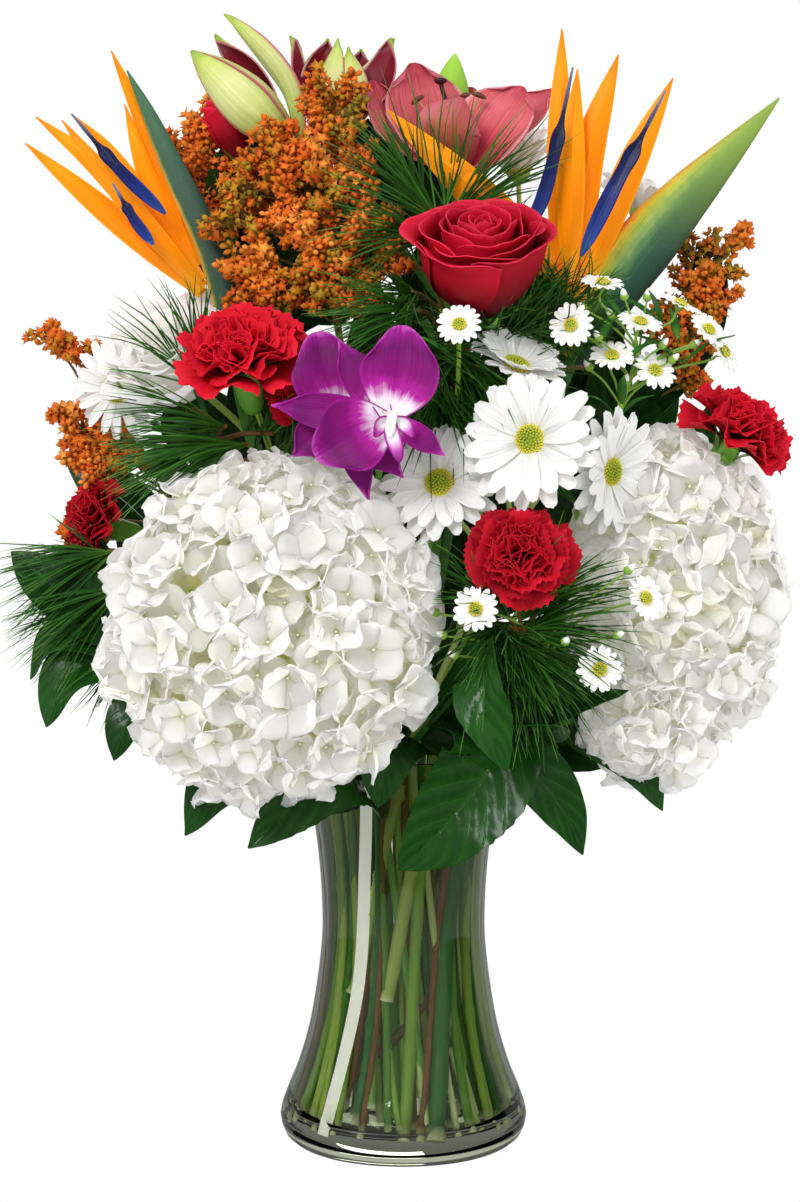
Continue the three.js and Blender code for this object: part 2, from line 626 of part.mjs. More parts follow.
// ---------------------------------------------------------------- round heads
const HYDRANGEA_FLORET = 20;
const ROSE_LAYERS = [[4, 0.36, 1.1, 0.92], [5, 0.82, 1.25, 1.05]];
const CARNATIONS = { front: 35, behind: 27, centre: 30, right: 32, far: 27 };
const DAISIES = {
  daisy_front: 37, daisy_middle: 33, daisy_side: 34, daisy_top: 28, daisy_back: 32, daisy_far: 33,
};

/** Sets a head built facing +Z on its flower and cuts it clear of what is already there. */
function addHead(node, { at, facing }, head, colour) {
  addNode(node, cutClear(moved(head, frameAt(at, facing))), colour);
}

function addRosesAndCarnations() {
  addHead("rose_bloom", STEMMED.rose, roseHead({ radius: 40, height: 58, layers: ROSE_LAYERS }), COLOUR.rose);
  for (const [name, radius] of Object.entries(CARNATIONS)) {
    const flower = STEMMED["carnation_" + name];
    const head = carnationHead({ radius, reach: flower.behind + 6 });
    addHead(`carnation_${name}_bloom`, flower, head, COLOUR.red);
  }
}

function addDaisies() {
  for (const [name, radius] of Object.entries(DAISIES)) {
    const flower = STEMMED[name] ?? BRANCHED[name];
    const rays = 10;
    addHead(name + "_head", flower, daisyHead({ radius, rays, reach: flower.behind + 3 }), COLOUR.white);
  }
}

function addMopheads() {
  const floret = HYDRANGEA_FLORET;
  const left = hydrangeaHead({ rx: 86, ry: 90, depth: 58, florets: 40, floret });
  const right = hydrangeaHead({ rx: 60, ry: 92, depth: 56, florets: 25, floret });
  addHead("hydrangea_left_head", STEMMED.hydrangea_left, left, COLOUR.white);
  addHead("hydrangea_right_head", STEMMED.hydrangea_right, right, COLOUR.white);
  const whiteRose = roseHead({ radius: 34, height: 48, layers: ROSE_LAYERS });
  addHead("white_rose_bloom", STEMMED.white_rose, whiteRose, COLOUR.white);
  const scales = whorl(3, 0.16, 0.2, { length: 34, width: 18, cup: 0.4, bend: -0.2 }, 1.5);
  const bud = fuse([closedBud(34, 10), ...scales]);
  addHead("rosebud_bloom", STEMMED.rosebud, bud, COLOUR.red);
}

// ---------------------------------------------------------------- lilies and the orchid
// Each petal is a row of points from the throat to its tip, then its width and the way it faces.
const LILY = {
  throat: V(32, 15, 545),
  petals: [
    [[V(10, 24, 581), V(2, 25, 613)], 38, V(0.5, -0.8, 0.2)],
    [[V(-2, 10, 574), V(-18, 14, 603)], 32, V(0.6, -0.5, 0.5)],
    [[V(22, -6, 566), V(31, -8, 588)], 30, V(0, 1, 0.3)],
    [[V(50, 6, 571), V(66, 12, 594)], 36, V(-0.5, -0.6, 0.5)],
    [[V(58, 27, 571), V(84, 30, 596)], 28, V(-0.5, -0.5, 0.7)],
    [[V(38, 46, 575), V(42, 58, 602)], 36, V(0, -1, 0.3)],
  ],
};
const LILY_HALF = {
  throat: V(-35, 28, 568),
  petals: [
    [[V(-57, 28, 596), V(-65, 28, 625)], 22, V(0.8, -0.5, 0.1)],
    [[V(-50, 40, 596), V(-45, 40, 625)], 20, V(0.4, -0.9, 0)],
    [[V(-42, 20, 596), V(-37, 24, 623)], 20, V(0.3, 0.9, 0)],
    [[V(-26, 16, 592), V(-29, 20, 620)], 24, V(0, 0.9, 0)],
    [[V(-14, 30, 600), V(-7, 30, 624)], 24, V(-0.8, -0.5, 0.1)],
    [[V(-26, 44, 596), V(-24, 44, 618)], 24, V(0, -1, 0)],
  ],
};
const LILY_LEFT = {
  throat: V(-60, 10, 561),
  petals: [
    [[V(-85, 17, 598), V(-107, 18, 622)], 18, V(-0.5, -0.6, 0.2)],
    [[V(-68, 13, 596), V(-100, 11, 635)], 14, V(-0.7, -0.5, -0.3)],
  ],
};
const ORCHID = {
  throat: V(-8, -122, 413),
  petals: [
    [[V(-2, -125, 438), V(-1, -121, 461)], 39, VIEWER, ROUND],
    [[V(-22, -122, 433), V(-34, -116, 453)], 17, VIEWER, OVAL],
    [[V(-43, -117, 417), V(-69, -114, 420)], 17, VIEWER, OVAL],
    [[V(-28, -130, 404), V(-46, -130, 394)], 34, VIEWER, ROUND],
    [[V(9, -127, 403), V(20, -129, 394)], 12, VIEWER, OVAL],
  ],
};
const ORCHID_BACK = {
  throat: V(-33, -105, 414),
  petals: [
    [[V(-40, -107, 437), V(-46, -103, 457)], 36, VIEWER, ROUND],
    [[V(-47, -108, 403), V(-57, -108, 395)], 20, VIEWER, OVAL],
    [[V(-24, -112, 390), V(-18, -112, 371)], 12, VIEWER, OVAL],
    [[V(-14, -112, 397), V(0, -112, 383)], 18, VIEWER, OVAL],
  ],
};

/** Petals that all leave one throat. */
function openBloom({ throat, petals }, ballSize, shape) {
  return fuse([
    ball(...ballSize, 5, 3).translate(throat.toArray()),
    ...petals.map(([path, width, face, outline = ROUND]) =>
      ribbon([throat, ...path], width, face, { ...shape, outline })),
  ]);
}

function addOpenBloom(node, solid, colour) {
  const cut = cutClear(solid);
  addNode(node, cut, colour, fattened(cut));
}

function addLiliesAndOrchid() {
  addOpenBloom("orchid_bloom", openBloom(ORCHID, [5, 5, 5], { thick: 2, cup: 0.12 }), COLOUR.purple);
  const lip = fuse([
    ball(4.5, 6, 5, 6, 4).translate([-6, -131, 411]),
    ribbon([V(-6, -131, 410), V(-9, -139, 398), V(-9, -133, 385)], 16, VIEWER, {
      outline: ROUND, cup: 0.5, thick: 2,
    }),
  ]);
  addOpenBloom("orchid_lip", lip, COLOUR.lip);
  const back = openBloom(ORCHID_BACK, [5, 5, 5], { thick: 2, cup: 0.12 });
  addOpenBloom("orchid_back_bloom", back, COLOUR.purple);

  addOpenBloom("lily_bloom", openBloom(LILY, [8, 8, 9], { thick: 2, cup: 0.3 }), COLOUR.lily);
  const stamens = [V(20.7, 14, 599), V(8, 6, 588), V(42, 4, 590), V(36, 26, 592)];
  const inside = V(31, 14, 553);
  const pistil = fuse(
    stamens.flatMap((tip, i) => [
      stalk([inside, mix(inside, tip, 0.5).add(V(0, 0, 3)), tip], i ? 0.9 : 1.5, 2, 3),
      knob(i ? 3.2 : 4.2, tip),
    ]),
  );
  addOpenBloom("lily_stamens", pistil, COLOUR.stamen);
  addOpenBloom("lily_half_open", openBloom(LILY_HALF, [9, 8, 9], { thick: 2, cup: 0.35 }), COLOUR.lily);
  const closed = moved(closedBud(79, 13, 8), frameAt(LILY_LEFT.throat, V(-0.73, 0, 0.68)));
  const split = openBloom(LILY_LEFT, [7, 7, 7], { thick: 2, cup: 0.35 });
  addOpenBloom("lily_left_bud", fuse([closed, split]), COLOUR.bud);
}

// ---------------------------------------------------------------- leaves
// For each stem: how far up it the leaf leaves, the points to its tip, its width, its upper side and
// its outline.
const DOWN_FRONT = V(0.1, -1, 0.35);
const LEAVES = {
  leaves_left: [
    [0.97, [V(-190, -38, 312), V(-216, -30, 340)], 20, V(-0.2, -0.8, 0.5)],
    [0.95, [V(-176, -46, 272), V(-194, -50, 245)], 24, V(-0.4, -0.8, 0.4)],
    [0.88, [V(-146, -56, 252), V(-155, -60, 229)], 26, V(-0.3, -0.9, 0.4)],
    [0.92, [V(-170, -20, 290), V(-200, -6, 282)], 22, V(-0.2, 0.2, 0.9)],
  ],
  hydrangea_left: [
    [0.6, [V(-84, -84, 226), V(-114, -90, 196)], 26, DOWN_FRONT, LEAF],
    [0.57, [V(-36, -84, 226), V(-82, -95, 189)], 34, DOWN_FRONT, SERRATED],
  ],
  leaves_front: [
    [0.98, [V(44, -84, 236), V(24, -90, 202), V(-4, -85, 173)], 40, DOWN_FRONT, SERRATED],
    [0.93, [V(62, -74, 226), V(86, -70, 200), V(97, -60, 175)], 32, DOWN_FRONT, LEAF],
    [0.9, [V(-8, -80, 232), V(-14, -84, 205)], 26, DOWN_FRONT, LEAF],
  ],
  hydrangea_right: [
    [0.72, [V(140, -22, 232), V(177, -20, 242)], 26, V(0.1, -0.8, 0.6), LEAF],
    [0.66, [V(100, -90, 262), V(118, -98, 268)], 24, V(0.2, -0.8, 0.6), SERRATED],
  ],
  leaves_right: [
    [0.97, [V(124, -60, 224), V(140, -64, 200)], 24, V(0.3, -0.8, 0.4)],
    [0.94, [V(120, -20, 240), V(150, 4, 226)], 26, V(0.5, -0.2, 0.8)],
    [0.9, [V(70, -90, 250), V(36, -118, 256)], 30, V(0, -0.7, 0.7), SERRATED],
  ],
  leaves_back: [
    [0.98, [V(-20, 116, 370), V(-40, 128, 410)], 32, V(0, 0.9, -0.2)],
    [0.95, [V(34, 116, 345), V(66, 130, 380)], 30, V(0.2, 0.9, -0.2)],
    [0.84, [V(40, 96, 280), V(78, 100, 262)], 34, V(0.2, 0.7, 0.6)],
    [0.78, [V(-12, 96, 250), V(-20, 100, 212)], 34, V(0, 0.8, 0.5)],
    [0.88, [V(-66, 92, 352), V(-104, 84, 382)], 32, V(-0.3, 0.9, 0.2)],
    [0.86, [V(62, 98, 318), V(108, 92, 330)], 32, V(0.3, 0.9, 0.2)],
    [0.72, [V(-52, 78, 256), V(-92, 72, 240)], 32, V(-0.3, 0.8, 0.6)],
    [0.97, [V(10, 104, 386), V(24, 96, 436)], 30, V(0.1, 0.95, -0.1)],
  ],
};

/** The leaves of one stem, each rooted inside it and cut clear of its neighbours. */
function leavesOn(name) {
  return (LEAVES[name] ?? []).map(([from, path, width, face, outline = LEAF]) => {
    const root = stems[name].curve.getPointAt(from);
    const made = ribbon([root, ...path], width, face, { thick: 1.6, cup: 0.2, outline });
    return cutClear(made, ["way of " + name]);
  });
}

function addLeafyStems() {
  for (const name of Object.keys(LEAVES)) {
    const node = name.startsWith("leaves") ? name : name + "_stem";
    addStem(name, node, leavesOn(name), COLOUR.leaf);
  }
}

// ---------------------------------------------------------------- goldenrod
// Clusters of rust-coloured knobs at the ends of side branches, as centre and spread.
const CLUSTERS = {
  goldenrod_centre: [
    [-46, 2, 602], [-62, -6, 582], [-34, -6, 586], [-46, -14, 568], [-78, -12, 560], [-62, -20, 556],
    [-28, -16, 560],
    [-86, -26, 536], [-66, -32, 530], [-40, -34, 532], [-16, -28, 528], [-82, -38, 504], [-58, -46, 506],
    [-30, -46, 502], [-70, -50, 478], [-44, -54, 480],
  ],
  goldenrod_top: [[-118, 30, 592], [-132, 26, 570], [-106, 30, 566], [-124, 30, 545], [-104, 24, 536]],
  goldenrod_left: [
    [-200, 12, 462], [-182, 18, 448], [-196, 4, 420], [-176, 10, 404], [-193, 0, 386], [-180, -4, 362],
  ],
  goldenrod_right: [
    [186, 20, 528], [168, 16, 512], [178, 12, 492], [158, 6, 482], [172, 4, 464], [150, -2, 452],
    [160, 0, 432],
  ],
};
const CLUSTER = [0, 10, 0.5]; // the lobed ring of a cluster: height, radius, notch

/** Side branches with knobs at their ends, each kept only where it stands clear. */
function goldenrodOn(name) {
  const random = randomStream(name.length * 7);
  const { curve } = stems[name];
  const grown = [];
  for (const [x, y, z] of CLUSTERS[name]) {
    for (let tries = 0; tries < 12; tries++) {
      const jitter = () => (random() - 0.5) * 3.5 * tries;
      const centre = V(x + jitter(), y + jitter(), z + jitter());
      const reach = nearestBelow(curve, centre);
      const along = centre.clone().sub(reach).normalize();
      const spin = V(random() - 0.5, random() - 0.5, random());
      const frame = frameAt(centre, along, spin);
      const build = (grow) => {
        const ring = ([up, radius, notch]) =>
          Array.from({ length: 6 }, (_, i) => {
            const r = (i % 2 ? radius * notch : radius) + grow;
            const around = (i * Math.PI) / 3;
            return V(r * Math.cos(around), r * Math.sin(around), up).applyMatrix4(frame);
          });
        const neck = ring([-8, 1.3, 1]);
        const foot = neck.map((p) => p.clone().add(reach).sub(centre).addScaledVector(along, 8));
        return skin([foot, neck, ring(CLUSTER)], undefined, V(0, 0, 9 + grow).applyMatrix4(frame));
      };
      if (!standsClear(build(GAP), ["way of " + name])) continue;
      grown.push(build(0));
      break;
    }
  }
  return grown;
}

/** The point of a stem a little below another point. */
function nearestBelow(curve, point) {
  const candidates = Array.from({ length: 40 }, (_, i) => curve.getPointAt(0.5 + i / 80));
  const cost = (p) => p.distanceTo(point) + Math.max(0, p.z - point.z + 18) * 4;
  return candidates.reduce((best, p) => (cost(p) < cost(best) ? p : best));
}

// ---------------------------------------------------------------- pine
// Tufts of needles: the tuft's middle, the way it points, how wide it fans, needle length and count.
const TUFTS = {
  pine_left: [
    [V(-112, -50, 438), V(-0.5, -0.2, 0.85), 0.7, 66, 13],
    [V(-96, -62, 408), V(-0.95, -0.3, 0.1), 0.45, 60, 7],
    [V(-118, -50, 420), V(-0.9, -0.2, 0.5), 0.5, 62, 8],
  ],
  pine_low_left: [
    [V(-164, -30, 334), V(-0.8, -0.2, -0.6), 0.55, 62, 11],
    [V(-160, -36, 316), V(-0.8, -0.3, -0.8), 0.5, 60, 8],
  ],
  pine_centre: [
    [V(18, -38, 528), V(-0.6, -0.3, 0.8), 0.55, 74, 10], [V(26, -28, 528), V(0.7, 0.1, 0.75), 0.4, 74, 8],
    [V(0, -66, 452), V(0.6, -0.6, -0.5), 0.7, 56, 10], [V(-6, -70, 440), V(-0.5, -0.8, -0.2), 0.6, 46, 6],
  ],
  pine_low: [
    [V(64, -104, 302), V(0.9, -0.4, 0.1), 0.4, 70, 9], [V(66, -104, 292), V(0.8, -0.3, -0.9), 0.45, 56, 9],
  ],
};
const NEEDLE = 0.75; // the radius of a needle near its root

const needle = (from, to, r) => {
  const along = to.clone().sub(from);
  const frame = frameAt(from.clone().addScaledVector(along, 0.12), along);
  const ring = [0, 1, 2].map((i) =>
    V(r * Math.cos(2.094 * i), r * Math.sin(2.094 * i), 0).applyMatrix4(frame));
  return skin([ring], from, to);
};

/** Tufts of needles round short side twigs, each needle kept only where it stands clear. */
function pineOn(name) {
  const random = randomStream(name.length * 3);
  const own = ["way of " + name];
  const grown = [];
  for (const [middle, way, fan, length, count] of TUFTS[name]) {
    const root = nearestBelow(stems[name].curve, middle);
    const twigPath = [root, mix(root, middle, 0.6).add(V(0, 0, 2)), middle];
    const twig = (grow) => stalk(twigPath, 1.5 + grow, 2, 4);
    if (!standsClear(twig(GAP), own)) continue;
    grown.push(twig(0));
    for (let i = 0; i < count; i++) {
      const from = mix(twigPath[1], middle, 0.2 + 0.8 * random());
      const a = GOLDEN * i;
      const spread = fan * Math.sqrt((i + 0.5) / count);
      const frame = frameAt(V(0, 0, 0), way);
      const direction = V(Math.sin(spread) * Math.cos(a), Math.sin(spread) * Math.sin(a), Math.cos(spread));
      const reach = direction.applyMatrix4(frame).multiplyScalar(length * (0.8 + 0.3 * random()));
      const to = from.clone().add(reach);
      if (standsClear(needle(from, to.clone().addScaledVector(reach, 0.02), NEEDLE + GAP), own))
        grown.push(needle(from, to, NEEDLE));
    }
  }
  return grown;
}

// ---------------------------------------------------------------- asters
// Small white stars on side branches with narrow leaves, as the middles of the heads.
const ASTERS = {
  aster_right: [
    [89, -72, 462], [107, -58, 485], [127, -62, 464], [165, -52, 460],
    [136, -52, 438], [112, -60, 446], [150, -46, 474],
  ],
  aster_low: [[37, -126, 315], [102, -121, 283], [127, -106, 319], [84, -124, 298]],
};
const ASTER_RADIUS = 12;

function astersOn(name) {
  const own = ["way of " + name];
  const { curve } = stems[name];
  const grown = [];
  ASTERS[name].forEach(([x, y, z], i) => {
    const at = V(x, y, z);
    const root = nearestBelow(curve, at);
    const facing = at.clone().sub(root).normalize().add(V(0, -0.8, 0.2)).normalize();
    const neck = at.clone().addScaledVector(facing, -4);
    const bow = mix(root, neck, 0.5).add(V(0, 0, 5));
    const build = (grow) =>
      fuse([
        stalk([root, bow, neck.clone().addScaledVector(facing, 2)], 0.9 + grow, 2, 3),
        moved(
          star({ lobes: 7, radius: ASTER_RADIUS + grow, notch: 0.55, front: 2.6 + grow, back: 5 + grow }),
          frameAt(at, facing, V(Math.cos(i), Math.sin(i), 0.2)),
        ),
      ]);
    if (standsClear(build(GAP), own)) grown.push(build(0));
  });
  for (let i = 0; i < 2; i++) {
    const root = curve.getPointAt(0.78 + 0.09 * i);
    const a = GOLDEN * i;
    const tip = root.clone().add(V(26 * Math.cos(a), 26 * Math.sin(a), 20));
    const middle = mix(root, tip, 0.5).add(V(0, 0, 4));
    const leaf = ribbon([root, middle, tip], 6, V(0.2, -0.5, 0.8), { outline: LANCE, thick: 1.2 });
    if (standsClear(fattened(leaf), own)) grown.push(leaf);
  }
  return grown;
}

// ---------------------------------------------------------------- the bouquet
addVase();
routeStems();
addRosesAndCarnations();
addLiliesAndOrchid();
addDaisies();
addMopheads();
addLeafyStems();
for (const name of Object.keys(CLUSTERS)) addStem(name, name, goldenrodOn(name), COLOUR.goldenrod);
for (const name of Object.keys(ASTERS)) addStem(name, name, astersOn(name), COLOUR.stem);
for (const name of Object.keys(TUFTS)) addStem(name, name, pineOn(name), COLOUR.pine);
const { at: budAt, facing: budFacing } = BRANCHED.lily_bud;
const bud = moved(closedBud(52, 8.5), frameAt(budAt.clone().addScaledVector(budFacing, -2), budFacing));
addStem("lily", "lily_stem", [cutClear(bud, ["way of lily"])]);
const smallAster = star({ lobes: 7, radius: ASTER_RADIUS, notch: 0.55, front: 2.6, back: 6 });
addStem("aster_left", "aster_left", [
  cutClear(
    moved(smallAster, frameAt(STEMMED.aster_left.at, STEMMED.aster_left.facing)),
    ["way of aster_left"],
  ),
]);
for (const name of Object.keys(STEMMED)) if (placed.some((p) => p.name === "way of " + name)) addStem(name);

export default group;
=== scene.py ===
# %% [markdown]
# # A bird of paradise bouquet in a glass vase
# The bouquet is built around a fixed frame of solids. Each flower is modelled in fine detail where the frame
# has a plain solid for it, and then stands for that solid. Places are written in millimetres and meshes are
# in metres. +Z is up, the vase stands on the origin and the front of the bouquet looks along -Y.

# %% Load the frame
import math
import random

import bmesh
import bpy
import numpy as np
from mathutils import Matrix, Vector


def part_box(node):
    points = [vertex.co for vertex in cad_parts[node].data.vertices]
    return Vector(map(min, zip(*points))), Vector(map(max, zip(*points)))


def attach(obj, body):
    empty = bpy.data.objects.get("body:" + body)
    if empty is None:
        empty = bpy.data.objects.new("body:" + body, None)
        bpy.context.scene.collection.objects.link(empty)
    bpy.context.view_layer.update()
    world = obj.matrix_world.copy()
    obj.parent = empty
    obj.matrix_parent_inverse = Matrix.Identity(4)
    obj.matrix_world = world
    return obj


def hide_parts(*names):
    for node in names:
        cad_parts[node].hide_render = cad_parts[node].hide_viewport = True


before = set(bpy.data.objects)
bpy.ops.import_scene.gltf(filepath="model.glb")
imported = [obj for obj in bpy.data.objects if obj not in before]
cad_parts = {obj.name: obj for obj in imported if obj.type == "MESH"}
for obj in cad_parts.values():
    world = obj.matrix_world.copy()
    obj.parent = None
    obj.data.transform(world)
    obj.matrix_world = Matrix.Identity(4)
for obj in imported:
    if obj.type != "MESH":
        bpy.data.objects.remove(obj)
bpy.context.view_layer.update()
MM = 0.001

# %% [markdown]
# The photographer stood about a metre and a half away with a long lens, a little above the middle of the
# bouquet. A vertical field of view of 25.5 degrees puts each flower on its place in the picture.

# %% Camera
CAMERA_FROM = Vector((-0.002, -1.4943, 0.4387))
CAMERA_TO = Vector((-0.002, 0.0, 0.308))
PICTURE_HALF_HEIGHT, FOCAL_PIXELS = 601, 2655

camera = bpy.data.objects.new("camera", bpy.data.cameras.new("camera"))
bpy.context.scene.collection.objects.link(camera)
camera.location = CAMERA_FROM
camera.rotation_euler = (CAMERA_TO - CAMERA_FROM).to_track_quat("-Z", "Y").to_euler()
camera.data.sensor_fit = "VERTICAL"
camera.data.angle = 2 * math.atan(PICTURE_HALF_HEIGHT / FOCAL_PIXELS)
camera.data.clip_start = 0.05
bpy.context.scene.camera = camera

# %% [markdown]
# ## Helpers for finish
# A material is a tree of nodes. A number that is the same all over sits on the shader's own socket, and the
# rest is fed by nodes. A petal's colour runs along it and across it, so most materials here read the petal's
# own UV map: U goes across and V from its root to its tip. The tint is a number that each petal keeps for
# itself, so no two have quite the same colour. Fine ribs come from a noise stretched along the petal.

# %% Materials
def srgb(code):
    """A linear colour from an sRGB hex code."""
    parts = [int(code[i : i + 2], 16) / 255 for i in (1, 3, 5)]
    return tuple(c / 12.92 if c <= 0.04045 else ((c + 0.055) / 1.055) ** 2.4 for c in parts) + (1.0,)


def set_inputs(owner, node, values):
    """Sets a node's inputs. A socket is linked, and a node stands for its first output in use."""
    for key, value in values.items():
        if isinstance(value, bpy.types.Node):
            value = next(s for s in value.outputs if s.enabled)
        if isinstance(value, bpy.types.NodeSocket):
            owner.node_tree.links.new(value, node.inputs[key])
        else:
            node.inputs[key].default_value = value


def add_node(owner, kind, inputs=None, stops=(), **settings):
    """Adds a node with its settings and inputs. Stops are the places and colours of a band."""
    node = owner.node_tree.nodes.new("ShaderNode" + kind)
    for key, value in settings.items():
        setattr(node, key, value)
    for _ in stops[2:]:
        node.color_ramp.elements.new(0.5)
    for k, (place, code) in enumerate(stops):
        node.color_ramp.elements[k].position, node.color_ramp.elements[k].color = place, srgb(code)
    set_inputs(owner, node, inputs or {})
    return node


def shade(mat, **sockets):
    """Sets or links sockets of a material's shader."""
    named = {key.replace("_", " ").title().replace("Ior", "IOR"): value for key, value in sockets.items()}
    set_inputs(mat, mat.node_tree.nodes["Principled BSDF"], named)


def material_named(name, **sockets):
    """A material whose shader has its plain values on its own sockets."""
    mat = bpy.data.materials.new(name)
    mat.use_nodes = True
    shade(mat, **sockets)
    return mat


# %% [markdown]
# The light is a bright white studio: soft white from all round, a large lamp high on the left that gives the
# petals their shape, weaker ones on the right and behind, and three dark cards, seen only in the glass, that
# draw its edges. What wax and glass mirror of the studio is dim, and so is what is seen through the glass, as
# in a room that is darker than its backdrop. The backdrop itself is burnt out to pure white.

# %% Light
def lamp(name, place, size, watts):
    """A square soft lamp that looks at the middle of the bouquet."""
    light = bpy.data.lights.new(name, "AREA")
    light.size, light.energy = size, watts
    obj = bpy.data.objects.new(name, light)
    bpy.context.scene.collection.objects.link(obj)
    obj.location = place
    obj.rotation_euler = (Vector((0, 0, 0.35)) - Vector(place)).to_track_quat("-Z", "Y").to_euler()
    return obj


lamp("key_lamp", (-0.9, -1.9, 1.7), 0.9, 34)
fill = lamp("fill_lamp", (1.6, -1.3, 0.6), 1.2, 9)
fill.visible_glossy = fill.visible_transmission = False
lamp("back_lamp", (0.3, 1.8, 1.5), 1.2, 16)

world = bpy.data.worlds.new("white_studio")
bpy.context.scene.world = world
world.use_nodes = True
backdrop = world.node_tree.nodes["Background"].inputs
backdrop["Color"].default_value = (1, 1, 1, 1)
ray = add_node(world, "LightPath").outputs
strength = add_node(world, "MapRange", {"Value": ray["Is Camera Ray"], "To Min": 0.8, "To Max": 1.0})
mirrored = add_node(world, "Math", {0: ray["Glossy Depth"], 1: 1.0}, operation="MINIMUM")
through = {0: ray["Is Transmission Ray"], 1: ray["Diffuse Depth"]}
through = add_node(world, "Math", through, operation="SUBTRACT", use_clamp=True)
flagged = add_node(world, "Math", {0: mirrored, 1: -0.5, 2: strength}, operation="MULTIPLY_ADD")
dimmed = add_node(world, "Math", {0: through, 1: -0.1, 2: flagged}, operation="MULTIPLY_ADD", use_clamp=True)
world.node_tree.links.new(dimmed.outputs[0], backdrop["Strength"])

black = material_named("black_card", base_color=(0.01, 0.01, 0.01, 1))
for name, place, turn, size in (
    ("dark_card_left", (-0.75, -0.1, 0.16), math.pi / 2, (0.34, 0.7, 1)),
    ("dark_card_right", (0.75, -0.1, 0.16), math.pi / 2, (0.34, 0.7, 1)),
    ("dark_card_below", (0, -0.5, -0.45), 0, (2.6, 2.4, 1)),
):
    bpy.ops.mesh.primitive_plane_add(size=1, location=place, rotation=(0, turn, 0))
    card = bpy.context.object
    card.name = name
    card.scale = size
    card.visible_camera = card.visible_diffuse = False
    card.data.materials.append(black)

view = bpy.context.scene.view_settings
view.view_transform, view.look = "Standard", "None"
view.exposure, view.gamma = 0.0, 1.0

# %% [markdown]
# ## Helpers for shape
# Petals, leaves and stems are thin forms that follow a line. A petal is a sheet of points: rows along its
# line and columns across it. It gets its thickness from a Solidify modifier at the end. Building the sheet
# from points gives every petal its own cup and curl, which a stack of hand edits couldn't do for hundreds.

# %% Selecting
def take(obj):
    """Makes an object the only selected and active one."""
    if bpy.context.object and bpy.context.object.mode != "OBJECT":
        bpy.ops.object.mode_set(mode="OBJECT")
    bpy.ops.object.select_all(action="DESELECT")
    obj.select_set(True)
    bpy.context.view_layer.objects.active = obj


def closed_skin():
    """Turns the faces of the mesh in edit mode outwards and leaves edit mode."""
    bpy.ops.mesh.select_all(action="SELECT")
    bpy.ops.mesh.normals_make_consistent(inside=False)
    bpy.ops.object.mode_set(mode="OBJECT")


def removed(*objs):
    for obj in objs:
        bpy.data.meshes.remove(obj.data)


# %% Lines and directions
def unit(v):
    v = np.asarray(v, float)
    return v / np.maximum(np.linalg.norm(v, axis=-1, keepdims=True), 1e-12)


def line_through(points, count):
    """Evenly spaced points on a smooth line through the given ones."""
    p = np.asarray(points, float)
    if len(p) == 2:
        return p[0] + (p[1] - p[0]) * np.linspace(0, 1, count)[:, None]
    p = np.vstack([2 * p[0] - p[1], p, 2 * p[-1] - p[-2]])
    t = np.linspace(0, 1, 17)[:-1, None]
    fine = [
        0.5 * (2 * b + (c - a) * t + (2 * a - 5 * b + 4 * c - d) * t**2 + (3 * b - a - 3 * c + d) * t**3)
        for a, b, c, d in zip(p, p[1:], p[2:], p[3:])
    ]
    fine = np.vstack([*fine, p[-2][None]])
    run = np.concatenate([[0], np.cumsum(np.linalg.norm(np.diff(fine, axis=0), axis=1))])
    steps = np.linspace(0, run[-1], count)
    return np.stack([np.interp(steps, run, fine[:, k]) for k in range(3)], -1)


def axes_at(along, face=(0, 0, 1)):
    """Three columns, x across, y towards face and z along a direction."""
    z = unit(along)
    f = np.asarray(face, float)
    if np.linalg.norm(np.cross(f, z)) < 1e-3:
        f = np.array([0.0, 1.0, 0.0]) if abs(z[1]) < 0.9 else np.array([1.0, 0.0, 0.0])
    x = unit(np.cross(f, z))
    return np.stack([x, np.cross(z, x), z], 1)


def moved(points, at, axes):
    """Points of a head's own space, set in the bouquet."""
    return np.asarray(points) @ axes.T + np.asarray(at, float)


def place_of(at, axes, scale=1.0):
    """The 4 by 4 place of a copy."""
    place = np.eye(4)
    place[:3, :3] = axes * scale
    place[:3, 3] = at
    return place


# %% Petals and tubes
FINE = np.linspace(0, 1, 49)


def petal(path, face, width, outline, tip=lambda u: 1 + 0 * u, lift=lambda u, v: 0 * u * v, rows=9, cols=7):
    """A sheet of points along a path. Its face looks to face, outline(v) is its share of the width at each
    part of its length, tip(u) shortens its sides to round its end, and lift(u, v) raises it from flat."""
    middle = line_through(path, len(FINE))
    along = unit(np.gradient(middle, axis=0))
    side = np.cross(face, unit(middle[-1] - middle[0]))
    side = unit(side - (along @ unit(side))[:, None] * along * np.linalg.norm(side))
    up = np.cross(along, side)
    u = np.linspace(-1, 1, cols)[None, :]
    v = np.linspace(0, 1, rows)[:, None]
    share = v * tip(u)
    at = [np.stack([np.interp(share, FINE, t[:, k]) for k in range(3)], -1) for t in (middle, side, up)]
    half = width / 2 * outline(v) * u
    return at[0] + at[1] * half[..., None] + at[2] * (lift(u, v) + 0 * share)[..., None]


def tables(pairs):
    """A smooth function through a few pairs of place and value."""
    x, y = np.array(pairs, float).T

    def curve(v):
        v = np.asarray(v, float)
        i = np.clip(np.searchsorted(x, v, side="right") - 1, 0, len(x) - 2)
        t = np.clip((v - x[i]) / (x[i + 1] - x[i]), 0, 1)
        slope = np.gradient(y, x)
        h = x[i + 1] - x[i]
        a, b = 2 * t**3 - 3 * t**2 + 1, t**3 - 2 * t**2 + t
        c, d = -2 * t**3 + 3 * t**2, t**3 - t**2
        return a * y[i] + b * h * slope[i] + c * y[i + 1] + d * h * slope[i + 1]

    return curve


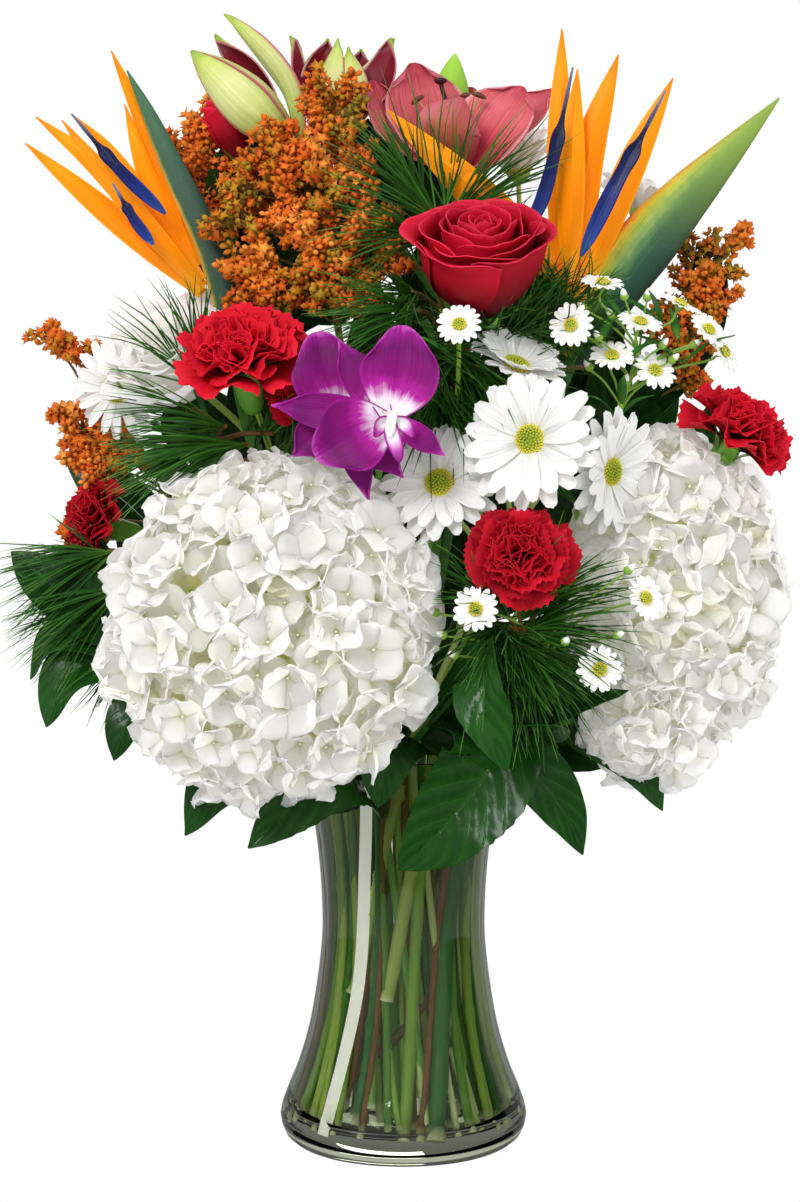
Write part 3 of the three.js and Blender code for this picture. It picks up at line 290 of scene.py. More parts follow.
def new_mesh(name, points, faces, uvs, tints):
    """An object from points and faces, with a UV map and a tint at each point."""
    mesh = bpy.data.meshes.new(name)
    mesh.from_pydata(points.tolist(), [], faces)
    layer = mesh.uv_layers.new(name="UVMap")
    layer.data.foreach_set("uv", np.asarray(uvs, np.float32).ravel())
    mesh.attributes.new("tint", "FLOAT", "POINT").data.foreach_set("value", np.asarray(tints, np.float32))
    mesh.polygons.foreach_set("use_smooth", [True] * len(mesh.polygons))
    obj = bpy.data.objects.new(name, mesh)
    bpy.context.scene.collection.objects.link(obj)
    return obj


def sheets_object(name, sheets, tints, thick=0.5 * MM, skins=1, rim=50):
    """Many petals as one object with real thickness. Of two skins, the outer has the second material."""
    points, faces, uvs, tint, start = [], [], [], [], 0
    for sheet, value in zip(sheets, tints):
        rows, cols = sheet.shape[:2]
        i = np.arange(rows * cols).reshape(rows, cols)
        quads = np.stack([i[:-1, :-1], i[1:, :-1], i[1:, 1:], i[:-1, 1:]], -1).reshape(-1, 4)
        u, v = np.meshgrid(np.linspace(0, 1, cols), np.linspace(0, 1, rows))
        flat = np.stack([u, v], -1).reshape(-1, 2)
        points.append(sheet.reshape(-1, 3))
        faces += (quads + start).tolist()
        uvs.append(flat[quads.ravel()])
        tint.append(np.full(rows * cols, value))
        start += rows * cols
    obj = new_mesh(name, np.vstack(points), faces, np.vstack(uvs), np.concatenate(tint))
    for _ in range(skins):
        obj.data.materials.append(None)
    solid = obj.modifiers.new("solid", "SOLIDIFY")
    solid.thickness, solid.offset = thick, 0.0
    solid.material_offset = solid.material_offset_rim = skins - 1
    take(obj)
    bpy.ops.object.modifier_apply(modifier=solid.name)
    bpy.ops.object.shade_smooth_by_angle(angle=math.radians(rim))
    return obj


def tubes_object(name, tubes, sides=8):
    """Closed tubes as one object. Each tube is its points, its radius at each point, and a tint."""
    points, faces, uvs, tint, start = [], [], [], [], 0
    turn = np.linspace(0, 2 * math.pi, sides, endpoint=False)
    for path, radii, value in tubes:
        path = np.asarray(path, float)
        n = len(path)
        along = unit(np.gradient(path, axis=0))
        side = unit(np.cross([0.31, 0.95, 0.05], along[0]))
        rings = []
        for p, t, r in zip(path, along, np.broadcast_to(radii, n)):
            side = unit(side - (side @ t) * t)
            rings.append(p + r * (np.cos(turn)[:, None] * side + np.sin(turn)[:, None] * np.cross(t, side)))
        points.append(np.vstack([*rings, path[:1], path[-1:]]))
        i = np.arange(n * sides).reshape(n, sides)
        j = np.roll(i, -1, axis=1)
        quads = np.stack([i[:-1], j[:-1], j[1:], i[1:]], -1).reshape(-1, 4)
        low = [[n * sides, j[0, k], i[0, k]] for k in range(sides)]
        high = [[n * sides + 1, i[-1, k], j[-1, k]] for k in range(sides)]
        faces += [[int(k) + start for k in f] for f in [*quads, *low, *high]]
        v = np.repeat(np.linspace(0, 1, n), sides)
        around = np.tile(np.arange(sides) / sides, n)
        flat = np.vstack([np.stack([around, v], -1), [[0.5, 0], [0.5, 1]]])
        uvs += [flat[k] for f in [*quads, *low, *high] for k in f]
        tint.append(np.full(n * sides + 2, value))
        start += n * sides + 2
    obj = new_mesh(name, np.vstack(points), faces, np.array(uvs), np.concatenate(tint))
    take(obj)
    bpy.ops.object.shade_smooth_by_angle(angle=math.radians(60))
    return obj


def copies(name, master, places, tints):
    """One object out of copies of a modelled master, each with its own mesh, place and tint."""
    mesh = master.data
    points = np.empty(len(mesh.vertices) * 3)
    mesh.vertices.foreach_get("co", points)
    points = points.reshape(-1, 3)
    faces = [list(f.vertices) for f in mesh.polygons]
    uvs = np.zeros(len(mesh.loops) * 2)
    if mesh.uv_layers:
        mesh.uv_layers[0].data.foreach_get("uv", uvs)
    places = np.asarray(places)
    every = np.einsum("nij,pj->npi", places[:, :3, :3], points) + places[:, None, :3, 3]
    n = len(points)
    all_faces = [[k + n * c for k in f] for c in range(len(places)) for f in faces]
    return new_mesh(
        name, every.reshape(-1, 3), all_faces, np.tile(uvs.reshape(-1, 2), (len(places), 1)),
        np.repeat(tints, n),
    )


def joined(name, *objs):
    """Several objects as one, under one name."""
    take(objs[0])
    for obj in objs:
        obj.select_set(True)
    if len(objs) > 1:
        bpy.ops.object.join()
    objs[0].name = objs[0].data.name = name
    return objs[0]


def piece(obj, material, slot, *nodes):
    """Gives a finished object its material, the body it rides on and the solids it stands for. slot is not
    used.
    """
    if material is not None:
        obj.data.materials.clear()
        obj.data.materials.append(material)
    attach(obj, "root")
    if nodes:
        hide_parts(*nodes)
    print(f"{obj.name}: {sum(len(p.vertices) - 2 for p in obj.data.polygons)} triangles")
    return obj


# %% [markdown]
# ## The vase
# A clear soda-lime glass vase is blown or pressed as one body of revolution: a broad foot, a narrow waist
# and a flared rim, with a thick bottom that bends the light. It could be spun from a profile. Here a disc is
# extruded and resized ring by ring up the outside, over the rim and down inside, so its wall and its solid
# bottom come from one closed skin.

# %% The vase is raised from a disc
VASE_OUTSIDE = [
    (58, 0), (64, 0.6), (67, 3), (70.5, 14), (66, 29), (60, 44), (53, 69), (47.5, 105), (46.3, 132),
    (49, 170), (57, 222),
]
WALL, FLOOR = 3.2, 13.0
outside = line_through([(r, 0, z) for r, z in VASE_OUTSIDE], 44)[:, [0, 2]]
inside = [(r - WALL, z) for r, z in outside[::-1] if z > FLOOR + 9]
wall = inside[-1][0]
inside += [(wall - 1.0, FLOOR + 5), (wall - 5, FLOOR + 1.4), (wall - 14, FLOOR), (8, FLOOR)]

bpy.ops.object.select_all(action="DESELECT")
bpy.ops.mesh.primitive_circle_add(vertices=128, radius=outside[0][0] * MM, fill_type="NGON")
vase = bpy.context.object
vase.name = vase.data.name = "glass_vase"
bpy.ops.object.mode_set(mode="EDIT")
bpy.ops.mesh.select_all(action="SELECT")
radius, height = outside[0]
rim = [(outside[-1][0] - 0.9, outside[-1][1] + 1.1), (outside[-1][0] - 2.3, outside[-1][1] + 1.1)]
for r, z in [*outside[1:], *rim, *inside]:
    bpy.ops.mesh.extrude_region_move(TRANSFORM_OT_translate={"value": (0, 0, (z - height) * MM)})
    bpy.ops.transform.resize(value=(r / radius, r / radius, 1), center_override=(0, 0, z * MM))
    radius, height = r, z
closed_skin()
bpy.ops.object.shade_smooth_by_angle(angle=math.radians(50))

# %% [markdown]
# Soda-lime glass bends light at 1.5 and is a little green where much of it is looked through, at the rim and
# in the thick bottom. It is fire-polished, so it is all but mirror-smooth.

# %% Clear glass
glass = material_named("clear_soda_lime_glass", roughness=0.0, ior=1.5, transmission_weight=1.0)
spot = add_node(glass, "TexCoord").outputs["Object"]
level = add_node(glass, "SeparateXYZ", {"Vector": spot}).outputs["Z"]
thin = add_node(glass, "MapRange", {"Value": level, "From Min": 12 * MM, "From Max": 34 * MM})
tone = add_node(glass, "Mix", {0: thin, 6: srgb("#cfd4bc"), 7: srgb("#eff4ea")}, data_type="RGBA")
waves = add_node(glass, "TexNoise", {"Vector": spot, "Scale": 22.0, "Detail": 1.0})
ripple = add_node(glass, "Bump", {"Height": waves, "Strength": 0.05, "Distance": 0.002})
shade(glass, base_color=tone, normal=ripple)
piece(vase, glass, "glass", "vase")

# %% [markdown]
# ## Stems
# Each stem is a long living tube: carnations have swollen joints, roses are thick and woody, daisies are
# thin. The frame has a way for every stem that keeps it clear of the others, so its middle is found by
# cutting the solid at even heights, and a smooth round tube is drawn along it.

# %% The middle of a stem's solid
def cut_middles(node, levels, reach=8.0):
    """The middle of a solid's main stalk at each height, as far as it can be followed. All in millimetres."""
    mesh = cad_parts[node].data
    points = np.array([v.co for v in mesh.vertices]) / MM
    ends = np.array([e.vertices for e in mesh.edges])
    a, b = points[ends[:, 0]], points[ends[:, 1]]
    found = []
    for z in levels:
        across = (a[:, 2] - z) * (b[:, 2] - z) < 0
        if not across.any():
            break
        share = (z - a[across, 2]) / (b[across, 2] - a[across, 2])
        cut = a[across] + (b[across] - a[across]) * share[:, None]
        if len(found) > 1:
            guess = 2 * found[-1] - found[-2]
            cut = cut[np.linalg.norm(cut - guess, axis=1) < reach]
        if not len(cut):
            break
        middle = (cut.min(0) + cut.max(0)) / 2
        if len(found) > 1 and np.linalg.norm(middle - found[-1]) > 26:
            break
        found.append(middle)
    return np.array(found)


FOOT = 14.0  # the height at which the lowest stems stand on the vase's floor
# For each flower: the ending of its solid's name, where its stem ends, its radius and its tint.
STEMS = {
    "bird_left": ("_spathe", (-97, -12, 462), 4.4, 0.62),
    "bird_right": ("_spathe", (96, -8, 448), 4.8, 0.70),
    "rose": ("_stem", (41, -56, 466), 3.2, 0.80),
    "rosebud": ("_stem", (-91, 22, 552), 2.2, 0.45),
    "white_rose": ("_stem", (-118, 8, 430), 2.4, 0.30),
    "carnation_front": ("_stem", (-80, -70, 420), 2.2, 0.35),
    "carnation_behind": ("_stem", (-54, -46, 412), 1.9, 0.25),
    "carnation_centre": ("_stem", (56, -92, 334), 2.0, 0.32),
    "carnation_right": ("_stem", (166, -27, 378), 2.0, 0.40),
    "carnation_far": ("_stem", (-148, 9, 344), 1.9, 0.28),
    "orchid": ("_stem", (-8, -116, 411), 2.3, 0.52),
    "daisy_front": ("_stem", (68, -104, 401), 2.0, 0.18),
    "daisy_back": ("_stem", (66, 45, 546), 2.0, 0.22),
    "hydrangea_left": ("_stem", (-64, -70, 294), 4.3, 0.55),
    "hydrangea_right": ("_stem", (128, -18, 302), 4.0, 0.48),
    "lily": ("_stem", (30, 14, 540), 4.0, 0.60),
    "goldenrod_centre": ("", (-45, 2, 588), 2.4, 0.90),
    "goldenrod_top": ("", (-118, 34, 576), 2.0, 0.86),
    "goldenrod_left": ("", (-178, 26, 418), 2.0, 0.92),
    "goldenrod_right": ("", (176, 26, 512), 2.0, 0.88),
    "pine_left": ("", (-116, -46, 434), 2.0, 0.76),
    "pine_low_left": ("", (-166, -24, 334), 2.0, 0.84),
    "pine_centre": ("", (22, -30, 522), 2.2, 0.96),
    "pine_low": ("", (62, -100, 298), 2.0, 0.80),
    "aster_left": ("", (29, -92, 460), 1.7, 0.42),
    "aster_right": ("", (128, -44, 448), 1.9, 0.40),
    "aster_low": ("", (78, -104, 300), 1.7, 0.38),
    "leaves_left": ("", (-150, -40, 291), 2.4, 0.66),
    "leaves_right": ("", (92, -52, 247), 2.2, 0.64),
    "leaves_front": ("", (16, -66, 251), 2.4, 0.72),
    "leaves_back": ("", (-10, 92, 329), 2.6, 0.70),
}
LAST = 59  # a stem's line has 60 points
node_of = {name: name + row[0] for name, row in STEMS.items()}
lines = {}
for name, (_, end, thickness, tint) in STEMS.items():
    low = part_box(node_of[name])[0].z / MM
    middles = cut_middles(node_of[name], np.arange(low + 1.5, end[2] - 14, 9.0))
    gap = np.linalg.norm(middles - np.array(end), axis=1)
    keep = middles[: max(3, int(np.argmin(gap + 1e3 * (gap < 12))) + 1)]
    smooth = keep.copy()
    smooth[1:-1] = (keep[:-2] + keep[1:-1] * 2 + keep[2:]) / 4
    stands = FOOT + len(lines) * 5 % 4 * 2.4
    foot = smooth[0] + (smooth[0] - smooth[1]) * (smooth[0][2] - stands) / max(smooth[1][2] - smooth[0][2], 1)
    lines[name] = line_through([foot, *smooth[1::3], end], LAST + 1)
print("stems followed:", len(lines))

# %% [markdown]
# A carnation stem swells at its joints, a lily or rose stem only thins out slowly. Side branches leave the
# stem at a narrow angle and bend out towards their own flower.

# %% Side branches and stalks
# For each branch: the stem it leaves, how far up, where it ends, the way its head looks, its radius.
BRANCHES = {
    "daisy_middle": ("daisy_front", 0.78, (19, -83, 375), (-0.15, -0.85, 0.45), 1.6),
    "daisy_side": ("daisy_front", 0.82, (105, -69, 384), (0.7, -0.65, -0.05), 1.6),
    "daisy_top": ("daisy_front", 0.84, (58, -64, 436), (0.3, -0.4, 0.85), 1.5),
    "daisy_far": ("daisy_back", 0.82, (135, 60, 522), (0.45, 0.25, 0.8), 1.6),
    "lily_left": ("lily", 0.82, (-60, 10, 561), (-0.68, 0, 0.73), 2.8),
    "lily_half": ("lily", 0.87, (-35, 28, 566), (0, 0, 1), 2.8),
    "lily_bud": ("lily", 0.9, (24, 44, 568), (0.1, 0, 0.99), 2.3),
    "orchid_back": ("orchid", 0.9, (-33, -102, 414), (-0.25, -0.9, 0.1), 1.5),
}
JOINTED = ("carnation", "aster", "goldenrod")


def stalk_along(line, thickness, tint, jointed=False, number=0):
    """A tube with the swellings of its kind."""
    run = np.linspace(0, 1, len(line))
    radius = thickness * (1 - 0.25 * run**2 + 0.04 * np.sin(run * 37 + number))
    if jointed:
        radius = radius + thickness * 0.45 * np.exp(-(((run * 5.3 + number * 0.37) % 1 - 0.5) ** 2) / 0.0012)
    return (np.asarray(line) * MM, radius * MM, tint)


stalks = {node: [] for node in node_of.values()}
for number, (name, (_, end, thickness, tint)) in enumerate(STEMS.items()):
    stalks[node_of[name]].append(stalk_along(lines[name], thickness, tint, name.startswith(JOINTED), number))
for name, (on, share, end, facing, thickness) in BRANCHES.items():
    root = lines[on][int(share * LAST)]
    neck = np.array(end) - unit(facing) * min(24, 0.4 * np.linalg.norm(np.array(end) - root))
    lines[name] = line_through([root, (root + neck) / 2 + (0, 0, 3), neck, end], 24)
    stalks[node_of[on]].append(stalk_along(lines[name], thickness, STEMS[on][3], False, 1))

# %% [markdown]
# Cut stems are waxy and green, with fine ribs along them and a pale, wet cut at the foot. One colour band
# holds all the greens from a daisy's yellow-green to the brown of woody greenery, and the tint picks.

# %% Green stem
# The stems glow faintly in their own colour: painted light that keeps them bright inside the glass.
stem_green = material_named("waxy_green_stem", roughness=0.4, specular_ior_level=0.35, emission_strength=0.07)
tint = add_node(stem_green, "Attribute", attribute_name="tint").outputs["Fac"]
uv = add_node(stem_green, "TexCoord").outputs["UV"]
stretched = add_node(stem_green, "Mapping", {"Vector": uv, "Scale": (26, 5, 1)})
ribs = add_node(stem_green, "TexNoise", {"Vector": stretched, "Scale": 1.0, "Detail": 3.0})
spread = add_node(stem_green, "Math", {0: ribs, 1: 0.16, 2: tint}, operation="MULTIPLY_ADD")
shifted = add_node(stem_green, "Math", {0: spread, 1: 0.08}, operation="SUBTRACT")
greens = add_node(stem_green, "ValToRGB", {"Fac": shifted}, [
    (0.0, "#f1eee0"), (0.1, "#d3d8a4"), (0.2, "#b3c46c"), (0.34, "#93b548"), (0.5, "#6a9c38"),
    (0.66, "#3f7d34"), (0.8, "#2c622c"), (0.88, "#6d6232"), (0.95, "#85562c"), (1.0, "#5c3c24"),
])
along = add_node(stem_green, "SeparateXYZ", {"Vector": uv}).outputs["Y"]
cut = add_node(stem_green, "MapRange", {"Value": along, "From Min": 0.0, "From Max": 0.035})
mixed = add_node(stem_green, "Mix", {0: cut, 6: srgb("#d8dcae"), 7: greens}, data_type="RGBA")
relief = add_node(stem_green, "Bump", {"Height": ribs, "Strength": 0.35, "Distance": 0.0006})
shade(stem_green, base_color=mixed, emission_color=mixed, normal=relief)

SLOT_OF = {
    "goldenrod": "goldenrod", "pine": "needle", "aster": "aster", "leaves": "leaf", "bird": "bird_green",
}
for node, tubes in sorted(stalks.items()):
    slot = next((s for start, s in SLOT_OF.items() if node.startswith(start)), "stem")
    drawn = tubes_object(node + "_stalk", tubes, sides=12)
    piece(drawn, stem_green, slot, node)

# %% [markdown]
# A bunch this full has shorter stems as well: side shoots that were stripped and cut, and ends of greenery.
# They stand between the others in the glass and end below its rim or under the leaves.

# %% Short stems in the glass
def stem_way(foot_turn, foot_out, top_turn, top_out, top, low=FOOT):
    """A line from the floor of the vase to a place under its rim, held inside the waist. In millimetres."""
    share = np.linspace(0, 1, 9)
    turn = np.radians(foot_turn + (top_turn - foot_turn) * share)
    z = low + (top - low) * share
    room = np.interp(z, [r[1] for r in VASE_OUTSIDE], [r[0] for r in VASE_OUTSIDE]) - WALL - 3.5
    out = room * (foot_out + (top_out - foot_out) * share)
    return line_through(np.stack([out * np.cos(turn), out * np.sin(turn), z], -1), 40)


SHORT_STEMS = [
    # Turn and share of the room at the foot, the same at the top, height of the top, radius, tint, and the
    # height of the foot where it doesn't stand on the floor.
    (-90, 0.92, -70, 0.95, 226, 3.5, 0.40),
    (-82, 0.97, -40, 0.95, 236, 2.0, 0.95), (-74, 0.97, -30, 0.94, 236, 5.2, 0.68),
    (-103, 0.95, -72, 0.97, 205, 3.9, 0.24, 88), (-134, 0.92, -92, 0.94, 210, 3.3, 0.28, 90),
    (-128, 0.94, -140, 0.93, 236, 1.9, 0.34), (-140, 0.97, -160, 0.95, 236, 1.7, 0.30),
    (-150, 0.9, -128, 0.96, 236, 2.0, 0.62), (-165, 0.97, -176, 0.97, 236, 2.1, 0.46),
    (-36, 0.97, -24, 0.95, 236, 1.7, 0.22), (-24, 0.92, -36, 0.97, 236, 2.4, 0.58),
    (-10, 0.97, -4, 0.97, 236, 1.9, 0.44), (-44, 0.8, -14, 0.97, 236, 1.8, 0.12),
    (-78, 0.97, -84, 0.6, 198, 2.0, 0.18, 22), (-92, 0.96, -112, 0.92, 120, 1.9, 0.36, 19),
    (-108, 0.97, -122, 0.7, 150, 2.4, 0.50, 30), (-62, 0.98, -60, 0.92, 52, 1.9, 0.12, 15),
    (-48, 0.98, -54, 0.9, 60, 2.0, 0.16, 16), (-54, 0.99, -44, 0.95, 236, 2.6, 0.52, 16),
    (-40, 0.99, -20, 0.97, 236, 2.4, 0.36, 18), (-30, 0.99, -26, 0.98, 236, 2.2, 0.76, 15),
    (-146, 0.98, -150, 0.97, 236, 2.4, 0.26, 17), (-116, 0.99, -106, 0.97, 236, 2.2, 0.72, 21),
    (-112, 0.98, -104, 0.96, 236, 2.0, 0.94, 15), (-98, 0.99, -108, 0.97, 160, 2.2, 0.56, 19),
    (-156, 1.0, -142, 0.98, 236, 2.2, 0.42, 15), (-14, 1.0, -30, 0.98, 236, 2.2, 0.24, 17),
    (-60, 0.85, -66, 0.9, 236, 2.8, 0.86), (-118, 0.8, -104, 0.88, 236, 2.8, 0.82),
    (-84, 0.8, -90, 0.85, 236, 2.8, 0.90), (-36, 0.85, -44, 0.88, 236, 2.8, 0.82),
    (-140, 0.85, -136, 0.88, 236, 2.8, 0.84), (-12, 0.9, -14, 0.9, 236, 2.8, 0.80),
    (-166, 0.9, -164, 0.9, 236, 2.8, 0.82), (-132, 0.82, -118, 0.9, 214, 2.4, 0.93, 26),
    (-172, 1.04, -184, 1.06, 236, 2.0, 0.74, 16), (172, 1.04, 188, 1.06, 236, 2.0, 0.36, 24),
    (-160, 1.04, -168, 1.06, 236, 1.8, 0.88), (160, 1.02, 168, 1.06, 236, 2.2, 0.62, 20),
    (-6, 1.04, 6, 1.06, 236, 2.0, 0.72, 18), (-20, 1.04, -10, 1.06, 236, 1.9, 0.30, 27),
    (12, 1.04, 0, 1.06, 236, 2.0, 0.50), (22, 1.02, 14, 1.06, 236, 2.0, 0.90, 22),
    (-88, 0.6, -96, 0.93, 222, 2.2, 0.40), (-20, 0.7, -60, 0.85, 232, 2.3, 0.84),
    (-112, 0.5, -130, 0.8, 228, 2.6, 0.76), (150, 0.9, 160, 0.95, 236, 2.4, 0.70),
    (120, 0.9, 130, 0.9, 236, 2.6, 0.80), (90, 0.9, 100, 0.9, 236, 2.4, 0.92),
    (60, 0.9, 50, 0.9, 236, 2.6, 0.66), (30, 0.9, 20, 0.95, 236, 2.4, 0.86),
    (5, 0.9, 20, 0.8, 236, 2.2, 0.54), (-178, 0.7, 170, 0.8, 236, 2.6, 0.90),
    (110, 0.5, 80, 0.5, 236, 3.2, 0.94), (70, 0.5, 110, 0.5, 236, 3.2, 0.74),
    (20, 0.5, 60, 0.6, 236, 3.0, 0.88), (150, 0.5, 170, 0.6, 236, 3.0, 0.82),
    (-30, 0.5, 0, 0.6, 236, 2.8, 0.96), (-150, 0.5, -170, 0.55, 236, 2.8, 0.78),
]
tubes = []
for number, (turn, out, top_turn, top_out, top, thickness, tint, *low) in enumerate(SHORT_STEMS):
    way = stem_way(turn, out, top_turn, top_out, top, *low)
    tubes.append(stalk_along(way, thickness, tint, number % 3 == 1, number))
piece(tubes_object("short_stems", tubes, sides=12), stem_green, "stem")

# %% [markdown]
# One stem was stripped of its bark and split flat. On the floor lie a few leaf ends that were cut off with
# the stems' feet.

# %% The stripped stem and the leaf ends
# The stripped wood glows in its own colour: painted light that keeps it white.
stripped = material_named("stripped_white_wood", roughness=0.6, emission_strength=0.4)
shade(stripped, base_color=srgb("#fdfaf4"), emission_color=srgb("#fdfaf4"))
way = stem_way(-132, 1.02, -113, 1.02, 236)
even = tables([(0, 1), (1, 1)])
strip = petal([way[0], way[14], way[27], way[39]], (0.1, -1, 0), 6.4, even, rows=30, cols=5) * MM
piece(sheets_object("stripped_stem", [strip], [0.5], thick=2.2 * MM), stripped, "stem")
draw = random.Random(21)
scraps = []
for number in range(26):
    turn, out = draw.uniform(-3.1, 0.2) if number % 4 else draw.uniform(0, 6.3), draw.uniform(34, 57)
    start = np.array([out * math.cos(turn), out * math.sin(turn), FOOT + draw.uniform(0.5, 5)])
    way = np.array([draw.uniform(-1, 1), draw.uniform(-1, 1), 0]) * draw.uniform(5, 9)
    way[:2] -= start[:2] * max(0.0, np.linalg.norm((start + 2 * way)[:2]) - 58) / 58
    scraps.append(petal(
        [start, start + way + (0, 0, draw.uniform(0, 3)), start + 2 * way + (0, 0, draw.uniform(0, 3))],
        (0, 0, 1), draw.uniform(5, 10), tables([(0, 0.3), (0.5, 1), (1, 0.1)]), rows=6, cols=5,
        lift=lambda u, v: 1.2 * u * u,
    ) * MM)

# %% [markdown]
# ## Petals
# Every petal has the same make: thin skin over wet, light-scattering cells. So one function builds the finish
# and each flower gives its own colours and ribs, and how far one petal may differ from the next. A little
# subsurface light keeps them from looking like painted card.

# %% Petal finish
def petal_material(
    name, band, edge=None, edge_from=0.7, ribs=(14, 2.0), depth=0.3, blotch=0.05, vary=0.12, roughness=0.5,
    soft=0.1, glow=0.002, shine=0.25, through=(1.0, 0.7, 0.5), painted_glow=0.0,
):
    """A petal's finish. band is its colours from root to tip; ribs are how many lie across and how often
    they change along; depth is how strongly they show; blotch shifts the band from place to place; vary is
    how much lighter or darker a petal's own tint makes it; through is the colour of light inside it. The last
    setting makes the petal glow in its own colour: painted light that stands for the light that goes round
    and round between white petals, and that brightens a few other colours."""
    # The emission in the petal's own colour is a painted glow: the petal is no lamp.
    mat = material_named(
        name, roughness=roughness, specular_ior_level=shine, subsurface_weight=soft, subsurface_scale=glow,
        subsurface_radius=through, emission_strength=painted_glow,
    )
    coords = add_node(mat, "TexCoord").outputs
    parts = add_node(mat, "SeparateXYZ", {"Vector": coords["UV"]}).outputs
    stretched = add_node(mat, "Mapping", {"Vector": coords["UV"], "Scale": (*ribs, 1)})
    rib = add_node(mat, "TexNoise", {"Vector": stretched, "Scale": 1.0, "Detail": 2.5})
    cloud = add_node(mat, "TexNoise", {"Vector": coords["Object"], "Scale": 130.0})
    moved_by = add_node(mat, "Math", {0: cloud, 1: 2 * blotch, 2: parts["Y"]}, operation="MULTIPLY_ADD")
    ribbed = add_node(mat, "Math", {0: rib, 1: blotch * 2, 2: moved_by}, operation="MULTIPLY_ADD")
    even = add_node(mat, "Math", {0: ribbed, 1: 2 * blotch}, operation="SUBTRACT")
    colour = add_node(mat, "ValToRGB", {"Fac": even}, band)
    if edge:
        across = add_node(mat, "Math", {0: parts["X"], 1: 2.0, 2: -1.0}, operation="MULTIPLY_ADD")
        away = add_node(mat, "Math", {0: across}, operation="ABSOLUTE")
        share = {"Value": away, "From Min": edge_from, "From Max": 1.0}
        share = add_node(mat, "MapRange", share, interpolation_type="SMOOTHSTEP")
        colour = add_node(mat, "Mix", {0: share, 6: colour, 7: srgb(edge)}, data_type="RGBA")
    own = add_node(mat, "Attribute", attribute_name="tint").outputs["Fac"]
    lighter = add_node(mat, "Math", {0: own, 1: 2 * vary, 2: 1.0 - vary}, operation="MULTIPLY_ADD")
    shaded = add_node(mat, "Math", {0: rib, 1: depth * 0.3, 2: lighter}, operation="MULTIPLY_ADD")
    level = add_node(mat, "Math", {0: shaded, 1: depth * 0.15}, operation="SUBTRACT")
    final = add_node(mat, "HueSaturation", {"Value": level, "Color": colour})
    relief = add_node(mat, "Bump", {"Height": rib, "Strength": depth, "Distance": 0.0005})
    shade(mat, base_color=final, emission_color=final, normal=relief)
    return mat


# %% Petals that stand round a head
def round_petal(turn, start, length, width, pitch, outline, **shape):
    """A petal in a head's own space, where +Z is the way the flower looks. It leaves a ring of radius
    start[0] at height start[1], climbs at pitch[0] and ends at pitch[-1], in degrees above flat."""
    steps = 12
    angle = np.radians(np.interp(np.linspace(0, 1, steps), np.linspace(0, 1, len(pitch)), pitch))
    step = length / (steps - 1)
    r = start[0] + np.concatenate([[0], np.cumsum(np.cos(angle[:-1]) * step)])
    z = start[1] + np.concatenate([[0], np.cumsum(np.sin(angle[:-1]) * step)])
    out = np.array([math.cos(turn), math.sin(turn), 0.0])
    path = r[:, None] * out + z[:, None] * np.array([0, 0, 1.0])
    away = unit(path[-1] - path[0])
    face = np.cross(away, np.array([-math.sin(turn), math.cos(turn), 0.0]))
    return petal(path, -face if face[2] < 0 and abs(away[2]) < 0.7 else face, width, outline, **shape)


GOLDEN = math.pi * (3 - math.sqrt(5))


def dome_places(count, radii, lowest, draw, lean=0.0, sink=(0, 0)):
    """Even places over an ellipsoid, each looking outwards, from its top down to a lowest height share."""
    places = []
    for i in range(count):
        z = 1 - (1 - lowest) * (i + 0.5) / count
        flat = math.sqrt(max(0, 1 - z * z))
        way = np.array([flat * math.cos(GOLDEN * i), flat * math.sin(GOLDEN * i), z])
        normal = unit(way / np.array(radii))
        tilt = np.array([draw.uniform(-1, 1) for _ in range(3)])
        depth = draw.uniform(*sink)
        axes = axes_at(unit(normal + lean * tilt), [draw.uniform(-1, 1) for _ in range(3)])
        places.append(place_of(way * np.array(radii) + normal * depth, axes))
    return np.array(places)


def set_in(places, at, axes):
    """Places of a head's own space, in millimetres, as places in the bouquet, in metres."""
    head = place_of(np.array(at) * MM, np.asarray(axes), 1.0)
    scaled = np.array(places).copy()
    scaled[:, :3, 3] *= MM
    return np.einsum("ij,njk->nik", head, scaled)


def bead(name, size):
    """A little modelled bud: a faceted ball drawn out towards its top and pinched at its foot."""
    bpy.ops.object.select_all(action="DESELECT")
    bpy.ops.mesh.primitive_ico_sphere_add(subdivisions=1, radius=size[0] * MM)
    ball = bpy.context.object
    ball.name = ball.data.name = name
    bpy.ops.object.mode_set(mode="EDIT")
    bpy.ops.mesh.select_all(action="SELECT")
    bpy.ops.transform.resize(value=(1, 1, size[1] / size[0]), center_override=(0, 0, 0))
    bpy.ops.mesh.select_all(action="DESELECT")
    bpy.ops.object.mode_set(mode="OBJECT")
    for vertex in ball.data.vertices:
        vertex.select = vertex.co.z < -0.3 * size[1] * MM
    bpy.ops.object.mode_set(mode="EDIT")
    bpy.ops.transform.resize(value=(0.6, 0.6, 1), center_override=(0, 0, 0))
    bpy.ops.object.mode_set(mode="OBJECT")
    return ball


# %% [markdown]
# ## The white mophead hydrangeas
# A mophead is a ball of some two hundred florets, each with four broad sepals that overlap like a pinwheel
# round a tiny bud. Four florets are modelled, from flat to half shut, and copied all over a flattened ball in
# two shells. Each copy leans its own way, and the deeper shell shows in the gaps of the outer one with a
# creamier finish that is partly painted shade.

# %% Florets
SEPAL_OUTLINE = tables([(0, 0.36), (0.22, 0.78), (0.5, 1.04), (0.78, 1.06), (1, 0.7)])


